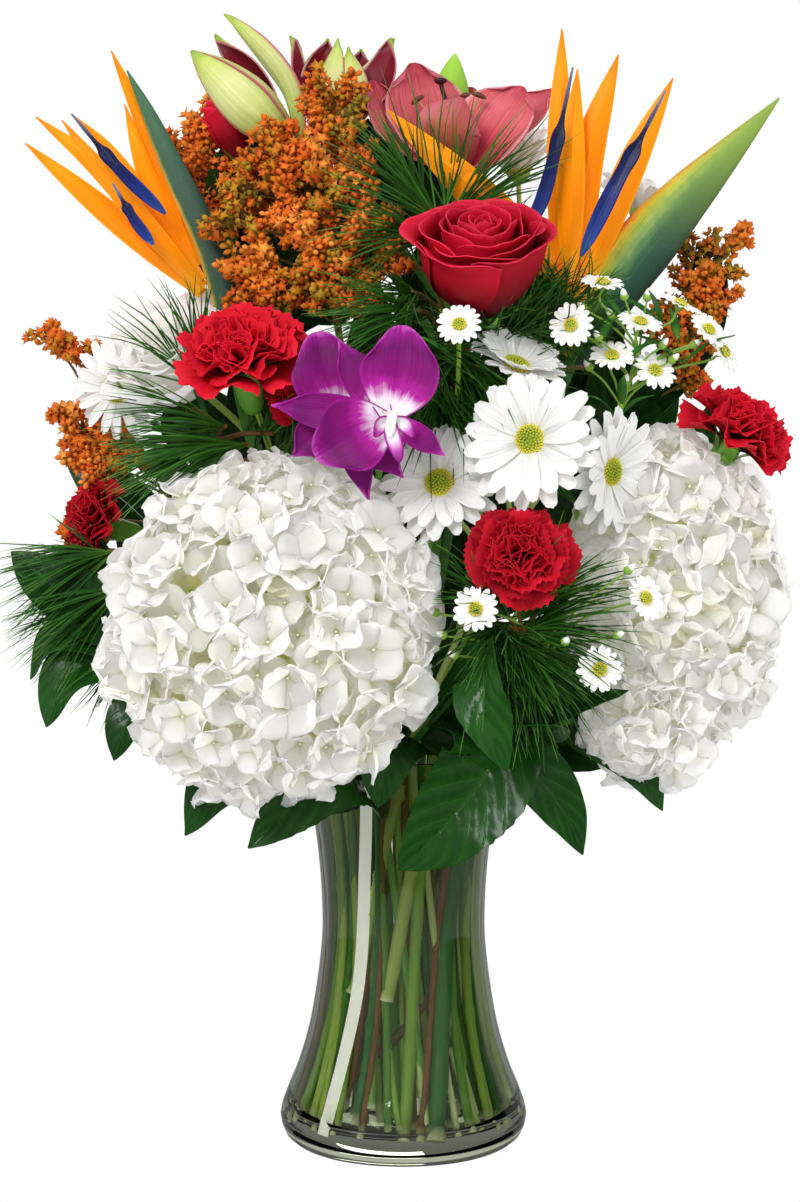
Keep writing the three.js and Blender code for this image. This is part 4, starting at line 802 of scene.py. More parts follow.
def floret(name, size, pitch, cup, seed, waves=1.0):
    """Four sepals that overlap like a pinwheel, and the little bud in their middle."""
    draw = random.Random(seed)
    sheets = []
    for k in range(4):
        wave = draw.uniform(0, 6)
        turn = k * math.pi / 2 + draw.uniform(-0.2, 0.2)
        length, width = size * draw.uniform(0.86, 1.08), size * draw.uniform(1.0, 1.2)
        climb = [
            pitch + draw.uniform(-9, 9), pitch - 6 + draw.uniform(-10, 10),
            pitch - 26 + draw.uniform(-18, 18),
        ]
        sheets.append(round_petal(
            turn, (0.6, 0.5 * (k % 2)), length, width, climb, SEPAL_OUTLINE, rows=6, cols=5,
            tip=lambda u: 1 - 0.24 * np.abs(u) ** 2.2,
            lift=lambda u, v: (
                cup * u * u * v + waves * 1.3 * v * v * np.sin(3.6 * u + wave) + 0.8 * u * (v - 0.3)
            ),
        ) * MM)
    leaves = sheets_object(name + "_sepals", sheets, [0.5] * 4, thick=0.2 * MM, rim=80)
    eye = bead(name + "_eye", (1.0, 1.0))
    eye.data.transform(Matrix.Translation((0, 0, 1.2 * MM)))
    for polygon in eye.data.polygons:
        polygon.use_smooth = True
    eye.data.uv_layers[0].data.foreach_set("uv", [0.5, 0.06] * len(eye.data.loops))
    return joined(name, leaves, eye)


florets = [
    floret("flat_floret", 19, 16, 1.6, 1), floret("cupped_floret", 19.5, 40, 2.8, 2),
    floret("waved_floret", 20, 26, -1.4, 4, 1.5), floret("half_shut_floret", 16, 62, 3.4, 3),
]

# %% [markdown]
# The sepals are white with a breath of green at the root and cream where they are older. Hydrangea sepals are
# matt and let light through, so the shadows between them stay pale, and all three finishes also glow faintly
# in their own colour: painted light for the light that bounces between the sepals. The deeper sepals are
# creamier and greener, partly the flower's own colour and partly painted shade for the depth of the ball.

# %% White sepal
hydrangea_white = petal_material(
    "white_hydrangea_sepal",
    [(0.0, "#e4e8b8"), (0.1, "#f4f4dc"), (0.3, "#fbfaf0"), (0.75, "#fdfcf7"), (1.0, "#faf8ee")], ribs=(16, 2),
    depth=0.25, vary=0.04, roughness=0.65, soft=0.85, glow=0.005, through=(1.0, 0.97, 0.84), painted_glow=0.065,
)
# The deeper shell's creamier, greener band is partly painted shade for the depth between the florets.
cream_and_painted_shade_sepal = petal_material(
    "cream_inner_sepal_painted_shade", [(0.0, "#ccd270"), (0.2, "#ecebaa"), (0.7, "#f7f4cc"), (1.0, "#f8f6dc")],
    ribs=(16, 2), depth=0.25, blotch=0.1, vary=0.05, roughness=0.65, soft=0.85, glow=0.005,
    through=(1.0, 0.96, 0.72), painted_glow=0.08,
)
hydrangea_core = petal_material(
    "greenish_inner_florets", [(0.0, "#bcc670"), (0.5, "#dcdf9c"), (1.0, "#c8d082")], vary=0.1, roughness=0.8,
    painted_glow=0.05,
)


def mophead(part, side, at, facing, radii, counts, seed):
    """An outer shell of florets, a deeper one whose creamier finish, partly painted shade, shows in its gaps,
    and a core of stalks.
    """
    name, node = f"hydrangea_{part}_florets", f"hydrangea_{side}_head"
    draw = random.Random(seed)
    axes = axes_at(facing)
    ball = np.array(radii) - 9.0
    for shell, count, sink, material in (
        ("outer", counts[0], (-6.0, 4.0), hydrangea_white),
        ("inner", counts[1], (-16.0, -9.0), cream_and_painted_shade_sepal),
    ):
        places = set_in(dome_places(count, ball, -0.93, draw, lean=0.6, sink=sink), at, axes)
        which = [draw.choice((0, 0, 1, 1, 1, 2, 2, 3)) for _ in places]
        for place in places:
            place[:3, :3] *= draw.uniform(0.7, 1.06)
        parts = []
        for k, master in enumerate(florets):
            tints = [draw.random() for w in which if w == k]
            parts.append(copies(f"{name}_{k}", master, places[np.array(which) == k], tints))
        piece(joined(f"{name}_{shell}", *parts), material, "white_petal", node)
    bpy.ops.object.select_all(action="DESELECT")
    bpy.ops.mesh.primitive_ico_sphere_add(subdivisions=5, radius=1)
    core = bpy.context.object
    core.name = core.data.name = name + "_core"
    for vertex in core.data.vertices:
        way = np.array(vertex.co)
        knob = 0.03 * math.sin(19 * way[0] + 5 * way[2]) * math.sin(17 * way[1] - 3) * math.sin(21 * way[2])
        vertex.co = moved(way * (ball - 16) * (1 + knob), at, axes) * MM
    for polygon in core.data.polygons:
        polygon.use_smooth = True
    piece(core, hydrangea_core, "white_petal", node)


mophead("left", "left", (-72, -98, 301), (-0.25, -0.9, 0.2), (88, 92, 60), (290, 130), 11)
mophead("right", "right", (150, -34, 319), (0.7, -0.6, 0.1), (62, 85, 58), (230, 100), 12)
mophead("low", "right", (134, -58, 247), (0.2, -0.85, -0.2), (38, 34, 36), (76, 30), 13)
removed(*florets)

# %% [markdown]
# ## The daisies
# Florist's daisies are white chrysanthemums: two rings of blunt rays round a button of tiny yellow-green
# florets. Each ray has two shallow grooves and a notched end, and its own length and droop. The button is a
# spiral of beads on a shallow dome, as in the real flower.

# %% Rays and button
RAY_OUTLINE = tables([(0, 0.3), (0.3, 0.72), (0.7, 1.0), (0.92, 0.96), (1, 0.78)])
button_bead = bead("button_bead", (0.85, 1.1))
fine_bead = bead("fine_bead", (0.62, 0.8))


def rays(radius, count, width, layers, seed, rows=9, cols=9, groove=0.35):
    """The rays of a daisy in its own space; each layer is its pitch at root and tip and its length share."""
    draw = random.Random(seed)
    sheets = []
    for layer, (low, high, share) in enumerate(layers):
        for k in range(count):
            turn = 2 * math.pi * (k + 0.5 * layer + draw.uniform(-0.2, 0.2)) / count
            bend = draw.uniform(-7, 7)
            length = (radius - 3) * share * draw.uniform(0.9, 1.04)
            roll = draw.uniform(-0.5, 0.5)
            sheets.append(round_petal(
                turn, (3.0, -1.2 + 0.9 * layer), length, width * draw.uniform(0.86, 1.08),
                [low + bend, high - bend], RAY_OUTLINE, rows=rows, cols=cols,
                tip=lambda u: 1 - 0.13 * u * u + 0.022 * np.cos(3 * math.pi * u),
                lift=lambda u, v, r=roll: groove * np.cos(2.5 * math.pi * u) * v + (0.9 * u * u + r * u) * v,
            ))
    return sheets


def daisy(name, at, facing, radius, layers, seed, count=17, width=9.2):
    """A daisy, which stands for its own solid where the frame has one."""
    draw = random.Random(seed)
    axes = axes_at(facing)
    sheets = [moved(s, at, axes) * MM for s in rays(radius, count, width, layers, seed)]
    head = sheets_object(name + "_rays", sheets, [draw.random() for _ in sheets], thick=0.4 * MM)
    stands_for = [node for node in (name + "_head",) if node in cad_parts]
    piece(head, daisy_white, "daisy_ray", *stands_for)
    beads = dome_places(120, (7.6, 7.6, 3.6), 0.05, draw, lean=0.12)
    beads[:, 2, 3] += 0.6
    under = dome_places(46, (6.4, 6.4, 2.6), 0.0, draw)
    tints = list(np.linspace(0, 1, 120)) + [0.4] * 46
    button = copies(name + "_button", button_bead, set_in(np.concatenate([beads, under]), at, axes), tints)
    cup = [(0, 0, -6.5), (0, 0, -4.5), (0, 0, -2.4), (0, 0, -0.4), (0, 0, 0.8)]
    girth = np.array([1.6, 4.6, 6.6, 6.9, 5.8]) * MM
    green = tubes_object(name + "_cup", [(moved(cup, at, axes) * MM, girth, 0.36)], 16)
    piece(button, button_yellow, "daisy_ray", *stands_for)
    piece(green, stem_green, "daisy_ray", *stands_for)


# The rays glow faintly in their own colour: painted light that lifts their shaded sides.
daisy_white = petal_material(
    "white_chrysanthemum_ray", [(0.0, "#dbe2a8"), (0.14, "#eeefdc"), (0.4, "#f4f4f1"), (1.0, "#f6f6f4")],
    ribs=(9, 1.2), depth=1.1, blotch=0.03, vary=0.07, roughness=0.55, painted_glow=0.03, soft=0.5, glow=0.003,
    through=(1.0, 0.98, 0.92),
)

# %% [markdown]
# The button runs from green in the middle, where its florets are still shut, to egg yellow at the rim. The
# tint of each bead is its place on the spiral.

# %% Yellow-green button
button_yellow = material_named(
    "yellow_disc_floret", roughness=0.6, subsurface_weight=0.15, subsurface_scale=0.001,
)
own = add_node(button_yellow, "Attribute", attribute_name="tint").outputs["Fac"]
spot = add_node(button_yellow, "TexCoord").outputs["Object"]
grain = add_node(button_yellow, "TexNoise", {"Vector": spot, "Scale": 900.0, "Detail": 1.0})
mixed = add_node(button_yellow, "Math", {0: grain, 1: 0.3, 2: own}, operation="MULTIPLY_ADD")
yellow = add_node(button_yellow, "ValToRGB", {"Fac": mixed}, [
    (0.1, "#9fb32a"), (0.45, "#b9c12c"), (0.75, "#d9cc30"), (1.0, "#ecd436"),
])
shade(button_yellow, base_color=yellow)

FLAT = [(8, -6, 1.0), (20, 4, 0.9)]
OPEN = [(24, 6, 1.0), (38, 18, 0.86)]
CUPPED = [(40, 26, 1.0), (56, 48, 0.9)]
daisy("daisy_front", (66, -110, 402), (-0.35, -0.9, 0.2), 39, FLAT, 21, 16, 11)
daisy("daisy_middle", (19, -88, 378), (-0.15, -0.85, 0.45), 35, FLAT, 22, 16, 9.5)
daisy("daisy_side", (110, -74, 384), (0.7, -0.65, -0.05), 36, [(14, -4, 1.0), (26, 10, 0.92)], 23, 17, 9.5)
daisy("daisy_top", (60, -66, 440), (0.3, -0.4, 0.85), 30, OPEN, 24, 15, 9)
daisy("daisy_back", (66, 45, 551), (-0.15, -0.1, 0.97), 35, CUPPED, 25, 19, 8)
daisy("daisy_far", (138, 62, 528), (0.45, 0.25, 0.8), 34, OPEN, 26)

# %% [markdown]
# ## The red carnations
# A carnation is a dome of nearly fifty fan-shaped petals with toothed ends. The outer ones lie flat, and the
# inner ones stand up and are crushed together. The ruffle is a wave across each fan that grows towards its
# end, and the teeth come from pulling every second point of the end in.

# %% Ruffled heads
FAN_OUTLINE = tables([(0, 0.1), (0.3, 0.32), (0.6, 0.74), (0.85, 0.98), (1, 1.0)])


def teeth(count):
    """The end of a fan: rounded, with every second point pulled in."""
    nibble = np.where(np.arange(count) % 2 == 0, 0.0, 0.045)
    return lambda u: 1 - 0.2 * np.abs(u) ** 2.4 - nibble[None, :] * (np.abs(u) < 0.97)


def five_scales(at, axes, start, length, width, pitch, outline, rows, **shape):
    """The five green scales or sepals round the foot of a flower."""
    ring = [
        round_petal(k * 1.257, start, length, width, pitch, outline, rows=rows, cols=5, **shape)
        for k in range(5)
    ]
    return [moved(sheet, at, axes) * MM for sheet in ring]


def carnation(name, at, facing, radius, calyx, tint_range, seed):
    draw = random.Random(seed)
    axes = axes_at(facing)
    sheets, tints = [], []
    count = 46
    for k in range(count):
        inner = k / (count - 1)
        turn = GOLDEN * k + draw.uniform(-0.3, 0.3)
        lean = 4 + 80 * inner**0.75 + draw.uniform(-9, 9)
        folds, phase = draw.uniform(3.2, 6.2), draw.uniform(0, 6.3)
        deep = draw.uniform(3.2, 6.2) * radius / 33
        size = radius * (1.04 - 0.26 * inner) * draw.uniform(0.88, 1.07)
        sheet = round_petal(
            turn, (3.6 - 3 * inner, -3.0 + 3 * inner), size, radius * draw.uniform(0.9, 1.2),
            [min(88, lean + 34), lean + draw.uniform(-8, 8), lean - 14 + draw.uniform(-18, 12)],
            FAN_OUTLINE, tip=teeth(19), rows=8, cols=19,
            lift=lambda u, v: deep * v**2.2 * np.sin(folds * u + phase) + 0.5 * v**4 * np.sin(17 * u + phase),
        )
        sheets.append(moved(sheet, at, axes) * MM)
        tints.append(draw.uniform(*tint_range) - 0.1 * (inner < 0.2))
    bloom = sheets_object(name + "_petals", sheets, tints, thick=0.35 * MM)
    piece(bloom, carnation_red, "carnation_petal", name + "_bloom")
    wide, deep = calyx
    depth = np.array([-deep - 1, -deep + 1, -0.75 * deep, -0.4 * deep, -0.12 * deep, 1.5])
    cup = moved(np.stack([0 * depth, 0 * depth, depth], -1), at, axes) * MM
    girth = wide * np.array([0.3, 0.62, 0.86, 0.94, 0.9, 0.8]) * MM
    cup = tubes_object(name + "_cup", [(cup, girth, 0.44)], 20)
    scale = tables([(0, 0.9), (0.6, 0.7), (1, 0.06)])
    scales = five_scales(at, axes, (wide * 0.84, -0.3 * deep), wide * 1.5, wide * 0.9, [80, 50, 30], scale, 6)
    green = joined(name + "_calyx", cup, sheets_object(name + "_scales", scales, [0.4] * 5, thick=0.5 * MM))
    piece(green, calyx_green, "carnation_petal", name + "_bloom")


# The band runs to near black at the petals' roots: painted shade deep inside the head.
carnation_red = petal_material(
    "ruffled_carnation_petal", [(0.0, "#3a0107"), (0.45, "#820510"), (0.75, "#be0a20"), (1.0, "#d81a30")],
    ribs=(22, 2), depth=0.4, blotch=0.07, vary=0.34, roughness=0.65, soft=0.06, shine=0.12,
)
calyx_green = petal_material(
    "waxy_calyx", [(0.0, "#4f8a28"), (0.5, "#5f9a32"), (1.0, "#86b848")],
    ribs=(30, 2), depth=0.25, vary=0.1, roughness=0.4, soft=0.04,
)
carnation("carnation_front", (-84, -84, 438), (-0.15, -0.5, 0.85), 38, (8, 26), (0.4, 0.75), 31)
carnation("carnation_behind", (-48, -62, 424), (0.3, -0.75, 0.45), 28, (7, 20), (0.35, 0.65), 32)
carnation("carnation_centre", (60, -114, 340), (0.08, -0.95, 0.3), 28, (7, 22), (0.0, 0.35), 33)
carnation("carnation_right", (180, -35, 398), (0.55, -0.35, 0.75), 33, (8, 24), (0.3, 0.6), 34)
carnation("carnation_far", (-168, 2, 350), (-0.9, -0.3, 0.25), 28, (7, 22), (0.0, 0.3), 35)

# %% [markdown]
# ## The roses
# A rose is a tight spiral bud that opens layer by layer. Each petal is a deep spoon, tucked under its
# neighbour on one side, and the outer rims roll back. A petal is given by how far round the flower it
# reaches, how far out and how high its rim is, and how much it rolls.

# %% Spoon petals round a bud
def spoon_petal(turn, span, low, high, girth, flare, wave, phase):
    u = np.linspace(-1, 1, 17)[None, :]
    v = np.linspace(0, 1, 15)[:, None] ** 0.85
    share = v * (1 - 0.13 * np.abs(u) ** 2.6 + 0.025 * np.exp(-((u / 0.16) ** 2)))
    body = tables(girth)(share)
    rolled = np.clip((share - 0.74) / 0.26, 0, 1)
    sides = np.clip(np.abs(u) - 0.45, 0, 1) ** 2 * v
    radius = body + flare * rolled**1.7 + 0.5 * max(flare, 0) * sides + 1.2 * u * v
    radius = radius + wave * v**3 * np.sin(5 * u + phase)
    height = low + (high - low) * share - 0.55 * max(flare, 0) * rolled**3 - 0.4 * max(flare, 0) * sides
    angle = turn + span * u * (0.35 + 0.65 * np.sin(np.clip(v * 1.9, 0, math.pi / 2)))
    return np.stack([radius * np.cos(angle), radius * np.sin(angle), height + 0 * angle], -1)


def rose(name, at, facing, layers, scale, seed, low, ruffle=1.0):
    """Spoon petals in layers. Each layer: how many, girth of the rim, height of the rim, reach round, flare.
    A loose old bloom has more ruffle than a tight one."""
    draw = random.Random(seed)
    axes = axes_at(facing)
    sheets, tints = [], []
    for layer, (count, rim, high, span, flare) in enumerate(layers):
        for k in range(count):
            turn = 2 * math.pi * (k + draw.uniform(-0.08, 0.08)) / count + layer * 0.9
            rim_here = rim * draw.uniform(0.91, 1.07)
            girth = [(0, 3 + 0.15 * rim), (0.25, 0.7 * rim_here), (0.55, 0.98 * rim_here), (1, rim_here)]
            if flare <= 0:
                girth = [(0, 3), (0.4, 1.15 * rim_here + 1), (0.75, 1.1 * rim_here), (1, rim_here)]
            sheet = spoon_petal(
                turn, math.radians(span), low, high + draw.uniform(-1.5, 1.5), girth,
                flare * draw.uniform(0.6, 1.3), wave=(0.35 + 0.16 * layer) * ruffle, phase=draw.uniform(0, 6),
            )
            sheets.append(moved(sheet * scale, at, axes) * MM)
            tints.append(draw.random())
    return sheets_object(name, sheets, tints, thick=0.45 * MM)


def calyx_leaves(name, at, axes, low, radius, length, pitch, width=7):
    """The green hip under a rose and its five pointed sepals."""
    sepal = tables([(0, 0.8), (0.3, 1), (0.7, 0.5), (1, 0.04)])
    sheets = five_scales(
        at, axes, (2.5, low - 1.5), length, width, pitch, sepal, 8, lift=lambda u, v: 0.6 * u * u,
    )
    hip = moved([(0, 0, low + z) for z in (-9, -6, -3, 0, 2)], at, axes) * MM
    girth = np.array([0.35, 0.75, 1.0, 0.9, 0.5]) * radius * MM
    hip = tubes_object(name + "_hip", [(hip, girth, 0.5)], 16)
    return joined(name, hip, sheets_object(name + "_sepals", sheets, [0.5] * 5, thick=0.5 * MM))


ROSE_LAYERS = [
    (3, 3.4, 32.5, 105, -1), (3, 6.8, 33.5, 84, -0.5), (3, 10.5, 34, 78, 0.6), (4, 15, 34, 62, 1.6),
    (4, 20, 33.5, 62, 3.4), (5, 25, 32.5, 54, 6.0), (5, 29, 30, 52, 9.5),
]
# The band is darkest at the petals' roots, painted shade in the heart of the bloom, and brightest at the
# rims, partly the rose's own colour and partly a painted highlight on the rolled edges.
rose_red = petal_material(
    "velvety_red_rose_petal",
    [(0.0, "#50020d"), (0.4, "#800416"), (0.75, "#b00924"), (0.95, "#c81030"), (1.0, "#dc2c4c")],
    ribs=(12, 1.5), depth=0.25, vary=0.18, roughness=0.6, soft=0.06, shine=0.15,
)
AT = (41, -68, 488)
bloom = rose("red_rose_petals", AT, (0, -0.5, 0.86), ROSE_LAYERS, 1.02, 41, -22, ruffle=1.7)
piece(bloom, rose_red, "rose_petal", "rose_bloom")
hip = calyx_leaves("red_rose_calyx", AT, axes_at((0, -0.5, 0.86)), -23, 6.5, 30, [-10, 35, 62])
piece(hip, calyx_green, "rose_petal")

# %% [markdown]
# The rosebud at the back is the same flower before it opens: four layers, all closed, with its green sepals
# still holding its foot.

# %% The rosebud
BUD_LAYERS = [(3, 2.4, 37, 105, -1), (3, 5.2, 37.5, 80, -0.4), (4, 8.6, 36, 66, 0.6), (4, 11.4, 32, 60, 1.6)]
AT = (-91, 22, 556)
bud = rose("red_rosebud_petals", AT, (-0.42, -0.1, 0.9), BUD_LAYERS, 1.0, 42, -1)
piece(bud, rose_red, "rose_petal", "rosebud_bloom")
hip = calyx_leaves("rosebud_calyx", AT, axes_at((-0.42, -0.1, 0.9)), -1, 5.5, 20, [60, 72, 60], width=6)
piece(hip, calyx_green, "rose_petal")

# %% [markdown]
# The white rose on the left is an older bloom that has opened wide, seen from its side. Its petals are cream
# at the root. A last white daisy looks out from behind it.

# %% The white rose and the daisy behind it
# The petals glow faintly in their own colour: painted light that lifts their shaded sides.
rose_white = petal_material(
    "cream_white_rose_petal", [(0.0, "#dfe3bd"), (0.3, "#f2f0e0"), (0.8, "#faf9f4"), (1.0, "#f6f1ea")],
    ribs=(10, 1.5), depth=0.2, blotch=0.04, vary=0.05, soft=0.8, glow=0.005, through=(1.0, 0.97, 0.84),
    painted_glow=0.06,
)
OPEN_LAYERS = [
    (3, 5, 25, 105, -1), (4, 10, 27, 74, 1.5), (4, 15, 28, 62, 3), (5, 20, 28, 50, 5), (5, 25, 27, 46, 7),
    (6, 30, 24, 40, 9), (6, 34, 19, 38, 10),
]
AT = (-127, -16, 440)
bloom = rose("white_rose_petals", AT, (-0.3, -0.62, 0.72), OPEN_LAYERS, 0.98, 43, -17, ruffle=2.6)
piece(bloom, rose_white, "white_petal", "white_rose_bloom")
daisy(
    "daisy_behind_rose", (-159, -18, 428), (-0.45, -0.85, -0.1), 31, [(4, -14, 1.0), (16, 0, 0.9)], 27, 15,
    6.5,
)

# %% [markdown]
# ## The orchid
# The purple dendrobium has two broad round petals, three narrow sepals behind them and a lip that curls round
# the white column. Its petals are flat and waxy, deep magenta-purple, and pale towards the throat. Each one
# here follows the line from the throat to its own tip.

# %% Petals from a throat
OVAL = tables([(0, 0.3), (0.3, 0.85), (0.55, 1.0), (0.8, 0.8), (1, 0.12)])
ROUND = tables([(0, 0.2), (0.2, 0.62), (0.5, 0.98), (0.75, 1.0), (1, 0.66)])
VIEWER = (0, -1, 0.05)


def open_petals(throat, rows_of_petals, cup, seed, waves=1.0):
    """Petals that all leave one throat. Each: its path, width, facing, outline and how blunt its end is."""
    draw = random.Random(seed)
    sheets = []
    for path, width, face, outline, blunt in rows_of_petals:
        phase = draw.uniform(0, 6)

        def lift(u, v):
            crease = 0.022 * width * np.exp(-((u / 0.12) ** 2))
            swell = waves * 0.02 * width * v * np.sin(5 * u * v + phase)
            frill = waves * 0.014 * width * np.abs(u) ** 3 * np.sin(14 * v + phase)
            return cup * width * u * u * (1 - 0.5 * v) - crease + swell + frill

        sheets.append(petal(
            [throat, *path], face, width, outline, rows=16, cols=13, lift=lift,
            tip=lambda u: 1 - blunt * np.abs(u) ** 2.3,
        ) * MM)
    return sheets


orchid_purple = petal_material(
    "waxy_purple_orchid_petal",
    [
        (0.0, "#f6eef4"), (0.2, "#efdcf0"), (0.34, "#b02298"), (0.48, "#850670"), (0.78, "#68045c"),
        (0.94, "#8c0a7e"), (1.0, "#b848a8"),
    ],
    edge="#981688", edge_from=0.9, ribs=(22, 1.1), depth=0.6, blotch=0.09, vary=0.2, soft=0.03, shine=0.15,
)
orchid_lip = petal_material(
    "white_and_magenta_lip", [(0.0, "#f8f4ee"), (0.5, "#f5eaf2"), (0.75, "#c452bb"), (1.0, "#93107f")],
    edge="#9a148c", edge_from=0.62, ribs=(16, 1.5), vary=0.05, roughness=0.45,
)
THROAT = (-8, -122, 413)
sheets = open_petals(THROAT, [
    ([(-2, -125, 438), (-1, -121, 461)], 40, VIEWER, ROUND, 0.24),
    ([(-22, -120, 433), (-34, -116, 454)], 19, VIEWER, OVAL, 0.1),
    ([(-43, -116, 417), (-69, -114, 420)], 19, VIEWER, OVAL, 0.1),
    ([(-28, -130, 404), (-46, -129, 394)], 38, VIEWER, ROUND, 0.24),
    ([(9, -127, 403), (21, -129, 394)], 13, VIEWER, OVAL, 0.1),
], cup=0.1, seed=51)
orchid = sheets_object("orchid_petals", sheets, [0.45, 0.6, 0.7, 0.35, 0.6], thick=0.7 * MM)
piece(orchid, orchid_purple, "orchid_petal", "orchid_bloom")
sheets = open_petals((-33, -105, 414), [
    ([(-40, -107, 437), (-46, -103, 458)], 37, VIEWER, ROUND, 0.24),
    ([(-47, -108, 403), (-58, -108, 393)], 22, VIEWER, OVAL, 0.12),
    ([(-24, -112, 390), (-18, -112, 370)], 15, VIEWER, OVAL, 0.12),
    ([(-14, -112, 397), (0, -112, 382)], 20, VIEWER, OVAL, 0.12),
], cup=0.1, seed=52)
orchid = sheets_object("orchid_back_petals", sheets, [0.3, 0.5, 0.5, 0.45], thick=0.7 * MM)
piece(orchid, orchid_purple, "orchid_petal", "orchid_back_bloom")
sheets = open_petals((-6, -128, 413), [
    ([(-6, -136, 405), (-4, -138, 399), (-2, -134, 391)], 8, VIEWER, ROUND, 0.2),
    ([(-12, -131, 410), (-15, -134, 404)], 8, (0.5, -0.8, 0.1), ROUND, 0.2),
    ([(1, -131, 410), (5, -134, 404)], 8, (-0.5, -0.8, 0.1), ROUND, 0.2),
], cup=0.3, seed=53)
lip = sheets_object("orchid_lip_petals", sheets, [0.5] * 3, thick=0.6 * MM)
column = line_through([(-6, -123, 414), (-6, -131, 414), (-7, -137, 409), (-7.5, -138.5, 404)], 9) * MM
girth = np.array([3.4, 3.3, 3.0, 2.8, 2.7, 2.7, 2.8, 2.4, 1.0]) * MM
body = tubes_object("orchid_column", [(column, girth, 0.5)], 16)
body.data.uv_layers[0].data.foreach_set("uv", [0.5, 0.05] * len(body.data.loops))
piece(joined("orchid_lip_and_column", lip, body), orchid_lip, "white_petal", "orchid_lip")

# %% [markdown]
# ## The lilies
# Three lilies stand at the top: an open dusty rose one, one half open with dark red insides and cream edges,
# and one whose long lime-green bud is just splitting. A lily petal is a different colour inside and outside,
# so Solidify gives its outer skin the second material.

# %% Lily petals
LANCE = tables([(0, 0.34), (0.25, 0.74), (0.5, 1.0), (0.75, 0.86), (0.92, 0.42), (1, 0.06)])
BROAD = tables([(0, 0.3), (0.25, 0.7), (0.55, 1.0), (0.8, 0.97), (0.94, 0.7), (1, 0.34)])
# The pale pink edge is partly the petal's own paler margin and partly a painted highlight near its rim.
lily_rose = petal_material(
    "dusty_rose_lily_petal",
    [(0.0, "#7c8a3c"), (0.1, "#a63a42"), (0.35, "#c23c4c"), (0.75, "#d4626c"), (1.0, "#b23a4a")],
    edge="#e6a2a4", edge_from=0.86, ribs=(26, 0.9), depth=2.4, blotch=0.14, vary=0.2, roughness=0.42,
    soft=0.08,
)
lily_rose_back = petal_material(
    "dusty_rose_lily_back", [(0.0, "#7f8a3e"), (0.25, "#a4603c"), (0.7, "#b5584a"), (1.0, "#b0505a")],
    edge="#c05a68", edge_from=0.3, ribs=(22, 1.0), depth=1.2, vary=0.1, roughness=0.42, soft=0.08,
)
lily_dark = petal_material(
    "dark_red_lily_petal", [(0.0, "#3a0712"), (0.4, "#6c0f22"), (0.85, "#86182e"), (1.0, "#b9707a")],
    edge="#efe2c0", edge_from=0.8, ribs=(14, 1.3), depth=0.4, vary=0.15, roughness=0.42, soft=0.05,
)
lily_lime = petal_material(
    "lime_green_lily_back",
    [(0.0, "#7f9a3c"), (0.25, "#b4c264"), (0.6, "#d0d692"), (0.88, "#bccb68"), (1.0, "#8fae3c")],
    edge="#b5606a", edge_from=0.78, ribs=(16, 1.0), depth=1.2, blotch=0.12, vary=0.1, roughness=0.36,
    soft=0.05,
)
lily_green = petal_material(
    "bright_green_bud", [(0.0, "#5f9a2c"), (0.5, "#86bc3c"), (1.0, "#9fd04a")],
    ribs=(12, 1.2), depth=0.5, vary=0.08, roughness=0.35, soft=0.08,
)


def two_faced(name, sheets, tints, inner, outer, slot, node):
    """Petals with one material inside and another outside."""
    obj = sheets_object(name, sheets, tints, 0.8 * MM, skins=2)
    obj.data.materials[0], obj.data.materials[1] = inner, outer
    piece(obj, None, slot, node)


def long_bud(at, along, length, radius, turn):
    """The sheets of a shut bud: three long tepals that overlap round its axis, each with a raised midrib."""
    axes = axes_at(along)
    girth = [
        (0, 0.3 * radius), (0.2, 0.72 * radius), (0.42, radius), (0.68, 0.82 * radius), (0.9, 0.36 * radius),
        (1, 0.5),
    ]
    sheets = []
    for k in range(3):
        u = np.linspace(-1, 1, 11)[None, :]
        v = np.linspace(0, 1, 14)[:, None]
        around = turn + k * 2.094 + 1.15 * u
        r = tables(girth)(v) * (1 + 0.07 * np.exp(-((u / 0.16) ** 2)) - 0.05 * u * (k != 0))
        sheet = np.stack([r * np.cos(around), r * np.sin(around), v * length + 0 * around], -1)
        sheets.append(moved(sheet, at, axes) * MM)
    return sheets


petals = [
    ([(12, 24, 581), (5, 25, 611)], 50, (0.4, -0.9, 0.2), BROAD, 0.12),
    ([(-4, 12, 572), (-18, 14, 600)], 38, (0.6, -0.6, 0.4), BROAD, 0.1),
    ([(24, -8, 566), (32, -9, 588)], 36, (0, 1, 0.3), BROAD, 0.1),
    ([(50, 6, 572), (67, 10, 596)], 46, (-0.4, -0.8, 0.4), BROAD, 0.12),
    ([(60, 27, 573), (86, 30, 596)], 38, (-0.5, -0.6, 0.6), BROAD, 0.1),
    ([(36, 44, 577), (38, 50, 600)], 46, (0, -1, 0.3), BROAD, 0.12),
]
sheets = open_petals((32, 15, 545), petals, cup=0.16, waves=0.55, seed=54)
tints = [0.5, 0.35, 0.6, 0.7, 0.55, 0.4]
two_faced("open_lily_petals", sheets, tints, lily_rose, lily_rose_back, "lily_petal", "lily_bloom")
petals = [
    ([(-58, 26, 596), (-64, 26, 626)], 22, (0.9, -0.4, 0.1), LANCE, 0.05),
    ([(-48, 36, 596), (-43, 36, 626)], 24, (0.2, -0.98, 0), LANCE, 0.05),
    ([(-42, 18, 596), (-37, 22, 624)], 17, (0.5, 0.9, 0), LANCE, 0.05),
    ([(-28, 16, 592), (-31, 20, 619)], 18, (-0.1, 0.9, 0), LANCE, 0.05),
    ([(-12, 28, 600), (-6, 28, 625)], 30, (-0.7, -0.7, 0.1), LANCE, 0.05),
    ([(-28, 44, 596), (-24, 44, 621)], 28, (0, -1, 0), LANCE, 0.05),
]
sheets = open_petals((-35, 28, 568), petals, cup=0.28, seed=55)
tints = [0.5, 0.3, 0.6, 0.7, 0.4, 0.5]
